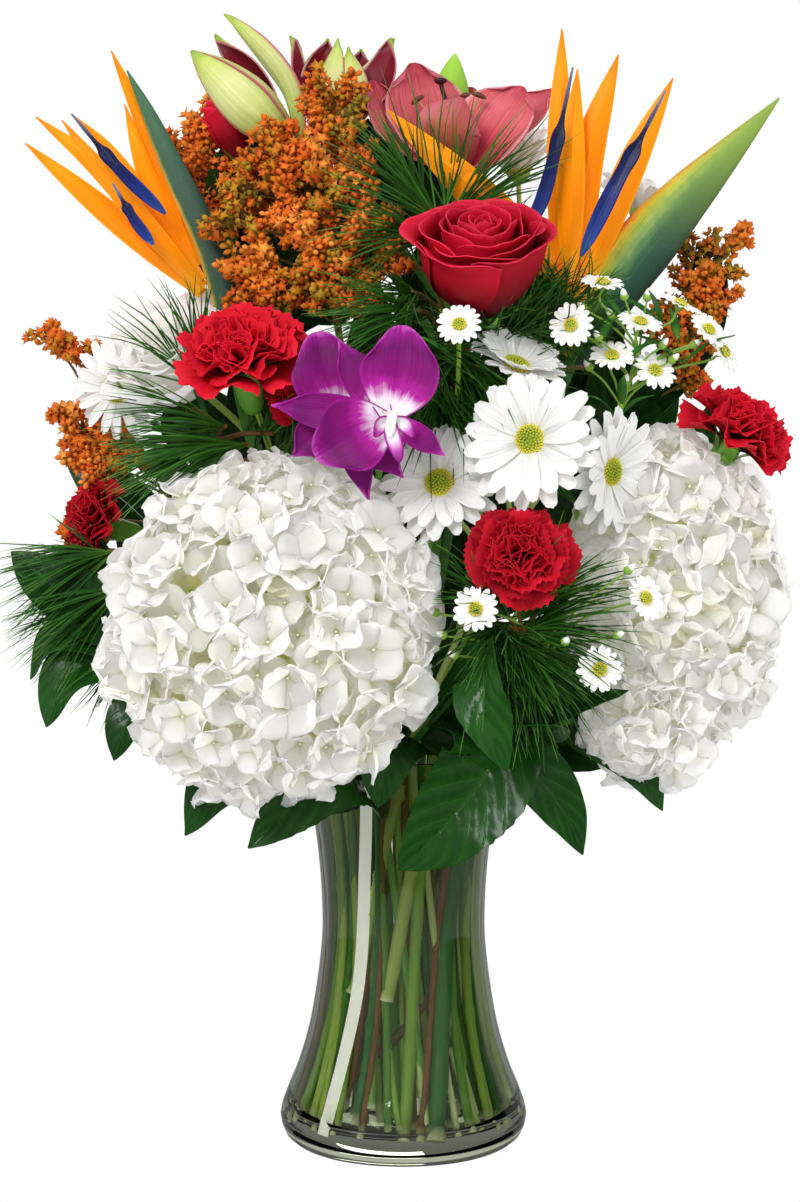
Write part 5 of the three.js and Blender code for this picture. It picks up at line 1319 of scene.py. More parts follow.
two_faced("half_open_lily_petals", sheets, tints, lily_dark, lily_lime, "lily_petal", "lily_half_open")
shut = long_bud((-60, 10, 561), (-0.73, 0, 0.68), 80, 14.5, -2.2)
loose = open_petals((-60, 10, 561), [
    ([(-82, 22, 601), (-106, 20, 626)], 24, (-0.5, -0.7, -0.4), LANCE, 0.05),
    ([(-68, 13, 598), (-100, 11, 636)], 19, (0.7, 0.6, 0.3), LANCE, 0.05),
], cup=0.3, seed=56)
tints = [0.5, 0.6, 0.4, 0.3, 0.7]
two_faced("left_lily_petals", [*shut, *loose], tints, lily_dark, lily_lime, "lily_bud", "lily_left_bud")
tip_bud = long_bud((24, 44, 564), (0.1, 0, 0.99), 54, 11, -1.2)
piece(sheets_object("green_lily_bud", tip_bud, [0.4, 0.6, 0.5], thick=0.7 * MM), lily_green, "stem")

# %% [markdown]
# The open lily has a dark, swollen stigma that shows over its petals, and stamens with rust-brown anthers
# that hang across the ends of thin filaments.

# %% Stamens
inside = np.array((31, 14, 553.0))
threads, anthers = [], []
for number, tip_at in enumerate([(20.7, 14, 599), (8, 6, 588), (42, 4, 590), (36, 26, 592), (24, 2, 586)]):
    tip_at = np.array(tip_at, float)
    path = line_through([inside, (inside + tip_at) / 2 + (0, 0, 3), tip_at], 9)
    if number:
        threads.append((path * MM, np.linspace(0.9, 0.55, 9) * MM, 0.3))
        across = unit(np.cross(tip_at - inside, (0.2, 1, 0.1 * number))) * 4.2
        bar = line_through([tip_at - across, tip_at + (0, 0, 0.8), tip_at + across], 7)
        anthers.append((bar * MM, np.array([0.5, 1.2, 1.5, 1.6, 1.5, 1.2, 0.5]) * MM, 0.8))
    else:
        threads.append((path * MM, np.linspace(1.6, 1.3, 9) * MM, 0.95))
        knob = line_through([tip_at - (0, 0, 1.5), tip_at + (0, 0, 2.6)], 6)
        anthers.append((knob * MM, np.array([1.4, 2.8, 3.6, 3.8, 3.0, 1.2]) * MM, 1.0))
stamen_brown = material_named("pollen_brown_anther", roughness=0.55)
own = add_node(stamen_brown, "Attribute", attribute_name="tint").outputs["Fac"]
spot = add_node(stamen_brown, "TexCoord").outputs["Object"]
grain = add_node(stamen_brown, "TexNoise", {"Vector": spot, "Scale": 1500.0})
mixed = add_node(stamen_brown, "Math", {0: grain, 1: 0.12, 2: own}, operation="MULTIPLY_ADD")
brown = add_node(stamen_brown, "ValToRGB", {"Fac": mixed}, [
    (0.3, "#b9a06a"), (0.6, "#9c5a32"), (0.85, "#6e2f1c"), (1.0, "#3c1218"),
])
shade(stamen_brown, base_color=brown)
stamens = tubes_object("lily_filaments_and_anthers", [*threads, *anthers], 10)
piece(stamens, stamen_brown, "stamen", "lily_stamens")

# %% [markdown]
# ## The birds of paradise
# A bird of paradise bloom is a beak-shaped green bract, the spathe, laid sideways on a stout stalk. From the
# seam along its top rise long orange sepals, folded lengthways and sharp at the tip, and blue petals joined
# to an arrow. The spathe is skinned ring by ring along its own curve, thick at the keel and thin at the seam.
# Its finish reads how far round the ring a place is, so the keel is blue-green and the lip turns yellow and
# orange, as on the real one.

# %% The beak
BEAK_RING = line_through(
    [
        (1.0, 0.0, 0), (0.9, 0.26, 0), (0.55, 0.5, 0), (0.1, 0.56, 0), (-0.45, 0.42, 0), (-0.85, 0.2, 0),
        (-1.0, 0.055, 0),
    ], 15,
)[:, :2]
FACING_US = unit(np.array([0.0, -1.0, 0.05]))


def beak(name, middles, girth, tip, rows=44):
    """A tapering boat along its own curve: rings from keel to seam on both sides, with a narrow slit."""
    line = line_through([*middles, tip], rows)
    along = unit(np.gradient(line, axis=0))
    keel = unit(np.cross(along, FACING_US))
    share = np.linspace(0, 1, rows)
    half = tables([(i / (len(girth)), g) for i, g in enumerate(girth)] + [(1, 0.5)])(share)
    one = BEAK_RING
    ring = np.vstack([one, (one * (1, -1))[::-1][:-1]])
    way = (1 - ring[:, 0]) / 2
    points = line[:, None] + half[:, None, None] * (
        keel[:, None] * ring[None, :, :1] + FACING_US * ring[None, :, 1:2] * (1 - 0.25 * share[:, None, None])
    )
    n = len(ring)
    i = np.arange(rows * n).reshape(rows, n)
    j = np.roll(i, -1, axis=1)
    faces = np.stack([i[:-1], j[:-1], j[1:], i[1:]], -1).reshape(-1, 4).tolist()
    uv = np.stack(np.broadcast_arrays(0.5 + share[:, None] / 2, way[None, :]), -1).reshape(-1, 2)
    faces += [list(map(int, i[0])), list(map(int, i[-1][::-1]))]
    uvs = [uv[k] for f in faces for k in f]
    obj = new_mesh(name, points.reshape(-1, 3) * MM, faces, uvs, np.full(rows * n, 0.5))
    take(obj)
    bpy.ops.object.mode_set(mode="EDIT")
    closed_skin()
    bpy.ops.object.shade_smooth_by_angle(angle=math.radians(60))
    return obj


def spathe_material(name, band, tip_colour, tip_from, bloom, blotch=0.05):
    """A waxy spathe: its band runs from keel to seam, and a pale bloom lies on it in specks."""
    mat = petal_material(
        name, band, edge=tip_colour, edge_from=tip_from, ribs=(5, 34), depth=0.3, blotch=blotch, vary=0.05,
        roughness=0.42, soft=0.03, shine=0.35,
    )
    plain = mat.node_tree.nodes["Principled BSDF"].inputs["Base Color"].links[0].from_socket
    uv = add_node(mat, "TexCoord").outputs["UV"]
    fine = add_node(mat, "Mapping", {"Vector": uv, "Scale": (60, 60, 1)})
    specks = add_node(mat, "TexNoise", {"Vector": fine, "Detail": 6.0, "Roughness": 0.7})
    share = add_node(mat, "MapRange", {"Value": specks, "From Min": 0.44, "From Max": 0.74, "To Max": bloom})
    shade(mat, base_color=add_node(mat, "Mix", {0: share, 6: plain, 7: srgb("#a4bfae")}, data_type="RGBA"))
    return mat


spathe_left = spathe_material(
    "blue_green_spathe_left",
    [
        (0.0, "#1c3a30"), (0.5, "#244636"), (0.82, "#2e553a"), (0.9, "#8f9a34"), (0.96, "#e8a024"),
        (1.0, "#f08a18"),
    ],
    "#2f6236", 0.5, 0.36,
)
spathe_right = spathe_material(
    "blue_green_spathe_right",
    [
        (0.0, "#163a30"), (0.36, "#1c4c38"), (0.56, "#366c2c"), (0.72, "#7a9c20"), (0.86, "#ccc41e"),
        (0.94, "#f6b418"), (1.0, "#f08410"),
    ],
    "#86a238", 0.35, 0.16, blotch=0.1,
)

# %% [markdown]
# The sepals are pure orange with a lighter fold down the middle, and smooth like silk. The blue petals are
# deep violet-blue, with ridges along them, and their point is pale with pollen.

# %% Sepals and tongues
SEPAL = tables([(0, 0.42), (0.3, 0.93), (0.5, 1.0), (0.78, 0.62), (0.92, 0.26), (1, 0.02)])
TONGUE = tables([
    (0, 0.12), (0.08, 0.62), (0.25, 1.0), (0.5, 0.86), (0.64, 0.82), (0.67, 0.5), (0.7, 0.34), (0.85, 0.2),
    (1, 0.03),
])
# The sepals glow faintly in their own colour: painted light that brightens their orange.
silk_orange = petal_material(
    "silky_orange_sepal",
    [(0.0, "#f8a818"), (0.16, "#fa8e06"), (0.42, "#fc8c00"), (0.85, "#fc9802"), (1.0, "#ea860a")],
    edge="#fea208", edge_from=0.75, ribs=(24, 0.9), depth=0.8, blotch=0.04, vary=0.08, roughness=0.4,
    soft=0.06, shine=0.2, painted_glow=0.08,
)
tongue_blue = petal_material(
    "violet_blue_tongue",
    [
        (0.0, "#3358ac"), (0.15, "#1f3d92"), (0.4, "#142066"), (0.66, "#0c1340"), (0.74, "#20254e"),
        (1.0, "#8a8ba4"),
    ],
    ribs=(16, 0.8), depth=1.6, blotch=0.12, vary=0.2, roughness=0.32, soft=0.02, shine=0.6,
)


def folded(path, width, outline, fold, rows=30, cols=11, curl=0.0):
    """A blade folded along its middle like a keel, waved a little along its edges."""
    return petal(path, FACING_US, width, outline, rows=rows, cols=cols, lift=lambda u, v: (
        -fold * width * np.abs(u) ** 1.3 * outline(v) + 0.06 * width * np.exp(-((u / 0.15) ** 2)) * (1 - v)
        + curl * width * np.sin(6 * v + 2 * u) * u
    )) * MM


def bird(side, middles, girth, tip, spathe, root, sepals, tongues):
    name = "bird_" + side
    piece(beak(name + "_beak", middles, girth, tip), spathe, "bird_green", name + "_spathe")
    made = [
        folded([np.array(root) + back, bow, end], width, SEPAL, fold, curl=0.03)
        for bow, end, width, fold, back in sepals
    ]
    shades = [(0.5 + 0.31 * k) % 1 for k in range(len(made))]
    orange = sheets_object(name + "_orange_sepals", made, shades, thick=1.1 * MM)
    piece(orange, silk_orange, "bird_orange", name + "_sepals")
    made = [folded(path, width, TONGUE, -0.34, rows=46, cols=13) for path, width in tongues]
    blue = sheets_object(name + "_blue_petals", made, [0.35, 0.75][: len(made)], thick=1.4 * MM)
    piece(blue, tongue_blue, "bird_blue", name + "_tongue")


bird(
    "left",
    [
        (-97, -12, 454), (-99, -13, 474), (-106, -14, 502), (-115, -15, 524), (-128, -15, 551),
        (-141, -15, 580),
    ],
    [5.8, 7.0, 7.7, 7.7, 6.3, 4.0], (-152, -15, 602), spathe_left, (-111, -17, 480),
    [
        ((-166, -20, 527), (-208, -19, 562), 13, 0.3, (0, 0, 0)),
        ((-164, -14, 545), (-203, -11, 577), 13, 0.3, (0, 3, 4)),
        ((-150, -30, 528), (-187, -24, 574), 11, 0.35, (0, -5, 2)),
        ((-158, -12, 554), (-181, -14, 577), 8, 0.3, (0, 2, 8)),
        ((-140, -13, 540), (-154, -11, 584), 11, 0.3, (-2, 4, 8)),
        ((-137, -10, 558), (-161, -13, 613), 11, 0.3, (-3, 5, 16)),
    ],
    [
        ([(-130, -31, 523), (-154, -35, 546), (-181, -30, 577)], 6.4),
        ([(-136, -40, 506), (-146, -42, 519), (-158, -39, 539)], 5.2),
    ],
)
bird(
    "right", [(94, -8, 442), (106, -8, 464), (127, -8, 498), (152, -8, 528), (180, -7, 558)],
    [6.5, 13.5, 17, 13.5, 7.5], (208, -6, 588), spathe_right, (104, -12, 484),
    [
        ((86, -18, 556), (87, -12, 625), 14, 0.3, (-17, 2, 6)),
        ((92, -26, 548), (95, -20, 602), 15, 0.34, (-12, -5, 4)),
        ((101, -16, 552), (118, -12, 611), 18, 0.3, (-6, 2, 6)),
        ((123, -18, 544), (148, -14, 598), 16, 0.3, (0, 1, 7)),
        ((38, -24, 537), (-9, -18, 580), 21, 0.25, (-2, 4, -6)),
    ],
    [
        ([(64, -26, 508), (76, -31, 532), (84, -33, 564), (92, -30, 602)], 7),
        ([(97, -30, 500), (113, -34, 534), (128, -32, 562), (143, -26, 590)], 8),
    ],
)

# %% [markdown]
# ## The goldenrod
# Goldenrod carries its flowers in plumes: side twigs crowded with tiny buds. These are past their yellow and
# have turned rust orange, some of them olive and golden, and the brown deep inside the tufts is painted
# shade.
# One shut bud and one open star are modelled and copied a few thousand times along short twigs that leave the
# main stem.

# %% Plumes
PLUMES = {
    "goldenrod_centre": [
        (-38, -2, 594), (-44, -4, 580), (-62, -6, 562), (-34, -8, 574), (-46, -14, 560), (-66, -10, 546),
        (-58, -4, 538), (-74, -12, 530), (-78, -12, 562), (-62, -20, 558), (-28, -16, 562), (-86, -26, 538),
        (-66, -32, 532), (-40, -34, 534), (-16, -28, 530), (-82, -38, 506), (-58, -46, 508), (-30, -46, 504),
        (-70, -50, 480), (-44, -54, 482), (-52, -30, 546), (-20, -40, 512), (-94, -34, 520), (-48, -50, 494),
        (-74, -44, 492), (-36, -24, 550), (-54, -40, 518), (-22, -46, 486), (-12, -38, 498), (-90, -40, 492),
    ],
    "goldenrod_top": [
        (-116, 30, 578), (-129, 26, 562), (-106, 30, 562), (-124, 30, 547), (-104, 24, 538), (-120, 26, 560),
        (-112, 20, 526), (-98, 20, 550), (-92, 14, 536), (-84, 10, 552),
    ],
    "goldenrod_left": [
        (-199, 12, 458), (-187, 14, 453), (-180, 16, 445), (-191, 6, 417), (-180, 8, 410), (-189, 2, 400),
        (-174, 4, 399), (-166, 8, 405), (-178, 0, 386), (-165, 2, 390), (-154, 6, 396), (-171, 0, 382),
        (-183, 0, 357), (-174, -2, 348), (-186, 0, 340),
    ],
    "goldenrod_right": [
        (186, 20, 512), (168, 16, 500), (178, 12, 484), (158, 6, 478), (172, 4, 466), (150, -2, 454),
        (160, 0, 434), (180, 16, 498), (164, 8, 490), (146, 2, 466), (162, 2, 448),
    ],
}
bud = bead("goldenrod_bud", (1.8, 3.0))

# An open floret is a little star: a ring of points and hollows drawn up to a middle and down to its foot.
bpy.ops.mesh.primitive_circle_add(vertices=10, radius=3.9 * MM, fill_type="TRIFAN")
star = bpy.context.object
star.name = star.data.name = "goldenrod_star"
for vertex in star.data.vertices:
    x, y, _ = vertex.co
    ring = math.hypot(x, y) > 0.1 * MM
    inner = ring and round(math.atan2(x, y) / (math.pi / 5)) % 2
    vertex.co = (
        x * (0.45 if inner else 1), y * (0.45 if inner else 1),
        (1.5 - 0.9 * bool(inner) if ring else 0.4) * MM,
    )
bpy.ops.object.mode_set(mode="EDIT")
bpy.ops.mesh.select_all(action="SELECT")
bpy.ops.mesh.extrude_region_move(TRANSFORM_OT_translate={"value": (0, 0, -1.6 * MM)})
bpy.ops.transform.resize(value=(0.25, 0.25, 0.25), center_override=(0, 0, -1.6 * MM))
closed_skin()


def lowest_near(line, point, drop=16):
    """The place on a stem a little below another point."""
    line = np.asarray(line)
    gap = np.linalg.norm(line - point, axis=1) + 4 * np.maximum(0, line[:, 2] - point[2] + drop)
    return line[int(np.argmin(gap))]


def plume(node, seed, fingers=6, size=1.0, buds=19):
    """Each tuft is a few fingers that lean out of one twig, and each finger is a stalk crowded with buds."""
    draw = random.Random(seed)
    twigs, kinds, tints = [], {False: [], True: []}, {False: [], True: []}
    for tuft in PLUMES[node]:
        tuft = np.array(tuft, float)
        root = lowest_near(lines[node], tuft)
        out = unit(tuft - root + (0, -5, 6))
        base = tuft - out * 11 * size
        twigs.append((line_through([root, (root + base) / 2 + (0, 0, 3), base], 8) * MM, 0.8 * MM, 0.9))
        tuft_tone = draw.uniform(-0.34, 0.2)
        for k in range(fingers):
            turned = axes_at(out, (draw.uniform(-1, 1), draw.uniform(-1, 1), 0.3))
            lean, turn = 0.3 + 0.75 * math.sqrt(k / fingers), 2.4 * k + draw.uniform(-0.3, 0.3)
            way = turned @ np.array([
                math.sin(lean) * math.cos(turn), math.sin(lean) * math.sin(turn), math.cos(lean),
            ])
            length = draw.uniform(21, 30) * (1.1 - 0.25 * lean) * size
            start = base + out * draw.uniform(-6, 4)
            curl = np.array([0, 0, draw.uniform(-3, 3)])
            finger = line_through(
                [start, start + way * length * 0.55 - curl * 0.3, start + way * length + curl], 12,
            )
            twigs.append((finger * MM, 0.5 * MM, 0.9))
            finger_tone = tuft_tone + draw.uniform(-0.12, 0.12)
            for m in range(buds):
                share = 0.16 + 0.84 * (m + draw.random()) / buds
                place = int(share * 10.99)
                at = finger[place] + (finger[place + 1] - finger[place]) * (share * 11 - place)
                around = GOLDEN * m + draw.uniform(-0.4, 0.4)
                side = axes_at(way)[:, :2] @ np.array([math.cos(around), math.sin(around)])
                girth = 4.3 * math.sqrt(max(0.0, 1 - (1.6 * share - 0.75) ** 2)) * draw.uniform(0.5, 1.05)
                look = unit(side + (0.35 + share) * way + (0, 0, 0.35))
                opened = draw.random() < 0.45
                kinds[opened].append(place_of(
                    (at + side * girth) * MM, axes_at(look, (draw.uniform(-1, 1), 1, 0)),
                    draw.uniform(0.75, 1.2),
                ))
                # Buds near a finger's root and close in to it are darker: painted shade deep in the tuft.
                tone = -0.34 + 0.55 * share + 0.2 * girth + finger_tone + draw.uniform(-0.14, 0.14)
                tints[opened].append(min(1, max(0, tone + 0.08 * opened)))
    piece(copies(node + "_buds", bud, kinds[False], tints[False]), rust_bud, "goldenrod", node)
    piece(copies(node + "_open_florets", star, kinds[True], tints[True]), rust_bud, "goldenrod", node)
    piece(tubes_object(node + "_twigs", twigs, 6), stem_green, "goldenrod")


# %% [markdown]
# The buds are dull and furry. Their tint runs from olive brown near the root of each finger to bright rust
# orange at its end, where the youngest open ones are, and buds close in to their finger are darker. The
# brown near the root and close in is painted shade deep inside the tuft.

# %% Rust-orange bud
rust_bud = material_named("dry_rust_orange_bud", roughness=0.75, specular_ior_level=0.2)
own = add_node(rust_bud, "Attribute", attribute_name="tint").outputs["Fac"]
spot = add_node(rust_bud, "TexCoord").outputs["Object"]
cloud = add_node(rust_bud, "TexNoise", {"Vector": spot, "Scale": 38.0, "Detail": 2.0})
grain = add_node(rust_bud, "TexNoise", {"Vector": spot, "Scale": 1400.0})
mixed = add_node(rust_bud, "Math", {0: cloud, 1: 0.9, 2: own}, operation="MULTIPLY_ADD")
shifted = add_node(rust_bud, "Math", {0: grain, 1: 0.25, 2: mixed}, operation="MULTIPLY_ADD")
even = add_node(rust_bud, "Math", {0: shifted, 1: 0.55}, operation="SUBTRACT")
rust = add_node(rust_bud, "ValToRGB", {"Fac": even}, [
    (0.0, "#4a2c0c"), (0.16, "#7c6a1c"), (0.32, "#b88a20"), (0.5, "#cc701a"), (0.7, "#dc661a"),
    (0.86, "#e87828"), (1.0, "#f09a3c"),
])
relief = add_node(rust_bud, "Bump", {"Height": grain, "Strength": 0.5, "Distance": 0.0004})
shade(rust_bud, base_color=rust, normal=relief)

plume("goldenrod_centre", 61)
plume("goldenrod_top", 62, fingers=5, size=0.9)
plume("goldenrod_left", 63, fingers=4, size=0.78)
plume("goldenrod_right", 64, fingers=4, size=0.85)

# %% [markdown]
# ## The pine
# Long soft needles fill the gaps: they leave a short twig in a spray, are about a millimetre wide, and each
# bends a little under its own weight. They are three-sided tubes that end in a point.

# %% Needles
# For each solid: the sprays on it, as the middle, the way they point, how wide they fan, length and count.
SPRAYS = {
    "pine_left": [
        ((-110, -36, 448), (-0.15, -0.3, 1.0), 0.5, 56, 20),
        ((-122, -40, 440), (-0.7, -0.3, 0.7), 0.5, 56, 7), ((-112, -50, 430), (-0.55, -0.3, 0.8), 0.6, 62, 8),
        ((-96, -62, 408), (-0.95, -0.3, 0.16), 0.45, 66, 22),
        ((-118, -50, 416), (-0.95, -0.3, 0.3), 0.4, 60, 9),
        ((-84, -64, 398), (-0.85, -0.3, -0.15), 0.5, 66, 50),
        ((-60, -70, 392), (0.3, -0.3, 0.3), 0.8, 40, 36),
        ((-104, -56, 396), (-0.95, -0.25, -0.25), 0.4, 62, 44),
        ((-70, -66, 404), (0.5, -0.25, 0.5), 0.6, 52, 30),
        ((-110, -30, 400), (-0.9, 0.3, -0.05), 0.5, 60, 40),
    ],
    "pine_low_left": [
        ((-160, -34, 338), (-0.9, -0.2, -0.3), 0.5, 66, 90),
        ((-156, -38, 318), (-0.9, -0.3, -0.5), 0.5, 66, 90),
        ((-152, -34, 302), (-0.85, -0.1, -0.3), 0.5, 62, 80),
        ((-146, -36, 290), (-0.7, -0.3, -0.8), 0.5, 54, 50),
        ((-158, -20, 330), (-0.9, 0.3, 0.3), 0.6, 48, 36),
    ],
    "pine_centre": [
        ((88, -36, 474), (-0.35, -0.3, 0.9), 0.6, 40, 36), ((100, -36, 472), (0.5, -0.3, 0.8), 0.6, 40, 30),
        ((72, -40, 470), (0.1, -0.4, 0.9), 0.7, 44, 40), ((84, -44, 446), (0.3, -0.3, 0.9), 0.6, 58, 50),
        ((66, -50, 452), (0.5, -0.3, 0.7), 0.6, 60, 50), ((104, -40, 440), (-0.1, -0.3, 0.95), 0.6, 50, 30),
        ((18, -38, 520), (-0.7, -0.3, 0.7), 0.5, 84, 26), ((26, -28, 520), (0.75, 0.1, 0.7), 0.4, 84, 34),
        ((0, -66, 452), (0.6, -0.6, -0.5), 0.8, 58, 50), ((-6, -70, 440), (-0.5, -0.8, -0.2), 0.7, 48, 40),
        ((10, -40, 510), (-0.9, -0.5, 0.1), 0.6, 66, 44), ((4, -54, 480), (-0.6, -0.7, -0.3), 0.8, 58, 50),
        ((26, -60, 452), (0.5, -0.4, -0.8), 0.7, 54, 50), ((60, -40, 470), (0.7, -0.3, 0.2), 0.8, 56, 50),
        ((24, -20, 526), (0, 0, 1), 0.4, 78, 14), ((2, -14, 528), (-0.45, -0.3, 0.9), 0.45, 62, 34),
        ((40, 0, 500), (0.3, 0.8, 0.4), 0.8, 66, 50), ((30, -62, 446), (-0.7, -0.4, -0.5), 0.6, 70, 60),
        ((40, -66, 440), (0.5, -0.5, -0.7), 0.6, 66, 60), ((20, -70, 430), (0.2, -0.6, -0.9), 0.6, 60, 60),
        ((8, -60, 470), (-0.9, -0.4, -0.1), 0.5, 66, 50), ((70, -40, 460), (0.9, -0.3, 0.1), 0.6, 60, 50),
        ((50, -50, 450), (-0.2, -0.6, 0.6), 0.8, 56, 50), ((-10, 20, 500), (-0.5, 0.8, 0.3), 0.8, 66, 50),
        ((60, -44, 436), (0.6, -0.4, -0.2), 0.8, 56, 40),
    ],
    "pine_low": [
        ((64, -104, 302), (0.9, -0.4, 0.2), 0.6, 66, 44), ((66, -104, 292), (0.8, -0.3, -0.9), 0.9, 56, 70),
        ((50, -98, 296), (0.5, -0.3, -0.9), 0.8, 58, 60), ((40, -92, 304), (0.7, -0.5, -0.4), 0.9, 60, 60),
        ((48, -106, 306), (-0.3, -0.7, -0.3), 0.7, 44, 40), ((60, -104, 318), (0.6, -0.4, 0.7), 0.6, 52, 44),
        ((46, -100, 318), (-0.6, -0.5, 0.6), 0.6, 48, 44), ((78, -96, 320), (0.9, -0.2, 0.5), 0.4, 50, 24),
    ],
}


def spray(node, seed):
    """Needles round the twigs of one solid, and the twigs that carry them."""
    draw = random.Random(seed)
    needles, twigs = [], []
    for middle, way, fan, length, count in SPRAYS[node]:
        middle = np.array(middle, float)
        root = lowest_near(lines[node], middle, drop=4)
        twig = line_through([root, (root + middle) / 2 + (0, 0, 2), middle], 8)
        twigs.append((twig * MM, 1.3 * MM, 0.95))
        axes = axes_at(way)
        for i in range(count):
            turn = GOLDEN * i + draw.uniform(-0.3, 0.3)
            lean = fan * math.sqrt((i + 0.5) / count) * draw.uniform(0.8, 1.15)
            out = axes @ np.array([
                math.sin(lean) * math.cos(turn), math.sin(lean) * math.sin(turn), math.cos(lean),
            ])
            start = twig[int(draw.uniform(3, 7.99))] + unit(out) * 1.0
            reach = length * draw.uniform(0.7, 1.08)
            sag = np.array([0, 0, -reach * draw.uniform(0.0, 0.16)])
            swing = np.array([draw.uniform(-1, 1), draw.uniform(-1, 1), 0]) * 0.06 * reach
            path = line_through([start, start + out * 0.5 * reach + swing, start + out * reach + sag], 7)
            thick = draw.uniform(0.42, 0.7)
            needles.append((
                path * MM, thick * np.array([0.8, 1, 1, 0.95, 0.8, 0.55, 0.1]) * MM, draw.random(),
            ))
    piece(tubes_object(node + "_needles", needles, 3), needle_green, "needle", node)
    piece(tubes_object(node + "_twigs", twigs, 6), stem_green, "needle")


needle_green = petal_material(
    "deep_green_needle", [(0.0, "#4a7a26"), (0.3, "#285418"), (0.8, "#2c5c1c"), (1.0, "#628f3a")],
    ribs=(3, 8), blotch=0.1, vary=0.5, roughness=0.4, soft=0.0,
)
for number, node in enumerate(SPRAYS):
    spray(node, 71 + number)

# %% [markdown]
# ## Leaves
# Two kinds of leaf hang round the neck of the vase: glossy dark salal-like ones with a sharp tip, and broad
# serrated ones that are quilted between their veins. A leaf follows its line, folds along its midrib, and its
# surface swells between the side veins. The same veins are in its finish.

# %% Leaf forms
LEAF = tables([(0, 0.06), (0.12, 0.56), (0.36, 1.0), (0.58, 0.96), (0.8, 0.66), (0.93, 0.3), (1, 0.02)])
VEINS = 9


def leaf(root, path, width, face, toothed=False, rows=40, cols=15):
    """A leaf with its stalk end at root. Toothed leaves have a saw edge."""
    saw = 0.055 if toothed else 0.0

    def lift(u, v):
        vein = np.cos(2 * math.pi * (VEINS * (v - 0.24 * np.abs(u)) + 0.5))
        shape = LEAF(np.clip(v, 0, 1))
        fold = 0.17 * width * np.abs(u) * shape
        quilt = 0.028 * width * vein * shape * (1 - np.abs(u) ** 4) * (np.abs(u) > 0.04)
        return fold + quilt + 0.05 * width * np.sin(9 * v + 2 * u) * np.abs(u) * shape

    def outline(v):
        teeth = 1 - saw * ((v * 19) % 1)
        return LEAF(v) * teeth

    return petal(
        [root, *path], face, width, outline, rows=58 if toothed else rows, cols=cols, lift=lift,
    ) * MM


# %% [markdown]
# A leaf's upper skin is waxed and shines. Its midrib and side veins are paler, and the blade is darkest in
# the middle of each field between them. The veins leave the midrib at the same places as the quilting does.

# %% Leaf finish
def leaf_material(name, blade, dark, vein, roughness, vein_show):
    mat = material_named(name, roughness=roughness, specular_ior_level=0.3)
    coords = add_node(mat, "TexCoord").outputs
    parts = add_node(mat, "SeparateXYZ", {"Vector": coords["UV"]}).outputs
    across = add_node(mat, "Math", {0: parts["X"], 1: 2.0, 2: -1.0}, operation="MULTIPLY_ADD")
    away = add_node(mat, "Math", {0: across}, operation="ABSOLUTE")
    slant = add_node(mat, "Math", {0: away, 1: -0.24, 2: parts["Y"]}, operation="MULTIPLY_ADD")
    count = add_node(mat, "Math", {0: slant, 1: float(VEINS)}, operation="MULTIPLY")
    saw = add_node(mat, "Math", {0: count, 1: 0.5}, operation="PINGPONG")
    side, rib = (
        add_node(
            mat, "MapRange", {"Value": value, "From Min": 0.07, "From Max": end},
            interpolation_type="SMOOTHSTEP",
        ) for value, end in ((saw, 0.0), (away, 0.015))
    )
    both = add_node(mat, "Math", {0: side, 1: rib}, operation="MAXIMUM")
    cloud = add_node(mat, "TexNoise", {"Vector": coords["Object"], "Scale": 60.0, "Detail": 4.0})
    field = add_node(mat, "Math", {0: saw, 1: 0.9, 2: cloud}, operation="MULTIPLY_ADD")
    level = add_node(mat, "MapRange", {"Value": field, "From Min": 0.4, "From Max": 1.0})
    flat = add_node(mat, "Mix", {0: level, 6: srgb(blade), 7: srgb(dark)}, data_type="RGBA")
    shown = add_node(mat, "Math", {0: both, 1: vein_show}, operation="MULTIPLY")
    veined = add_node(mat, "Mix", {0: shown, 6: flat, 7: srgb(vein)}, data_type="RGBA")
    own = add_node(mat, "Attribute", attribute_name="tint").outputs["Fac"]
    lighter = add_node(mat, "Math", {0: own, 1: 0.5, 2: 0.75}, operation="MULTIPLY_ADD")
    final = add_node(mat, "HueSaturation", {"Value": lighter, "Color": veined})
    fine = add_node(mat, "TexNoise", {"Vector": coords["Object"], "Scale": 700.0, "Detail": 2.0})
    height = add_node(mat, "Math", {0: fine, 1: 0.25, 2: both}, operation="MULTIPLY_ADD")
    relief = add_node(mat, "Bump", {"Height": height, "Strength": 0.35, "Distance": 0.0006}, invert=True)
    shade(mat, base_color=final, normal=relief)
    return mat


leaf_glossy = leaf_material("glossy_dark_leaf", "#1e4e17", "#153f10", "#42742c", 0.3, 0.2)
leaf_quilted = leaf_material("quilted_serrated_leaf", "#1d4e12", "#143f0e", "#386e24", 0.28, 0.16)
DOWN_FRONT = (0.1, -1, 0.35)
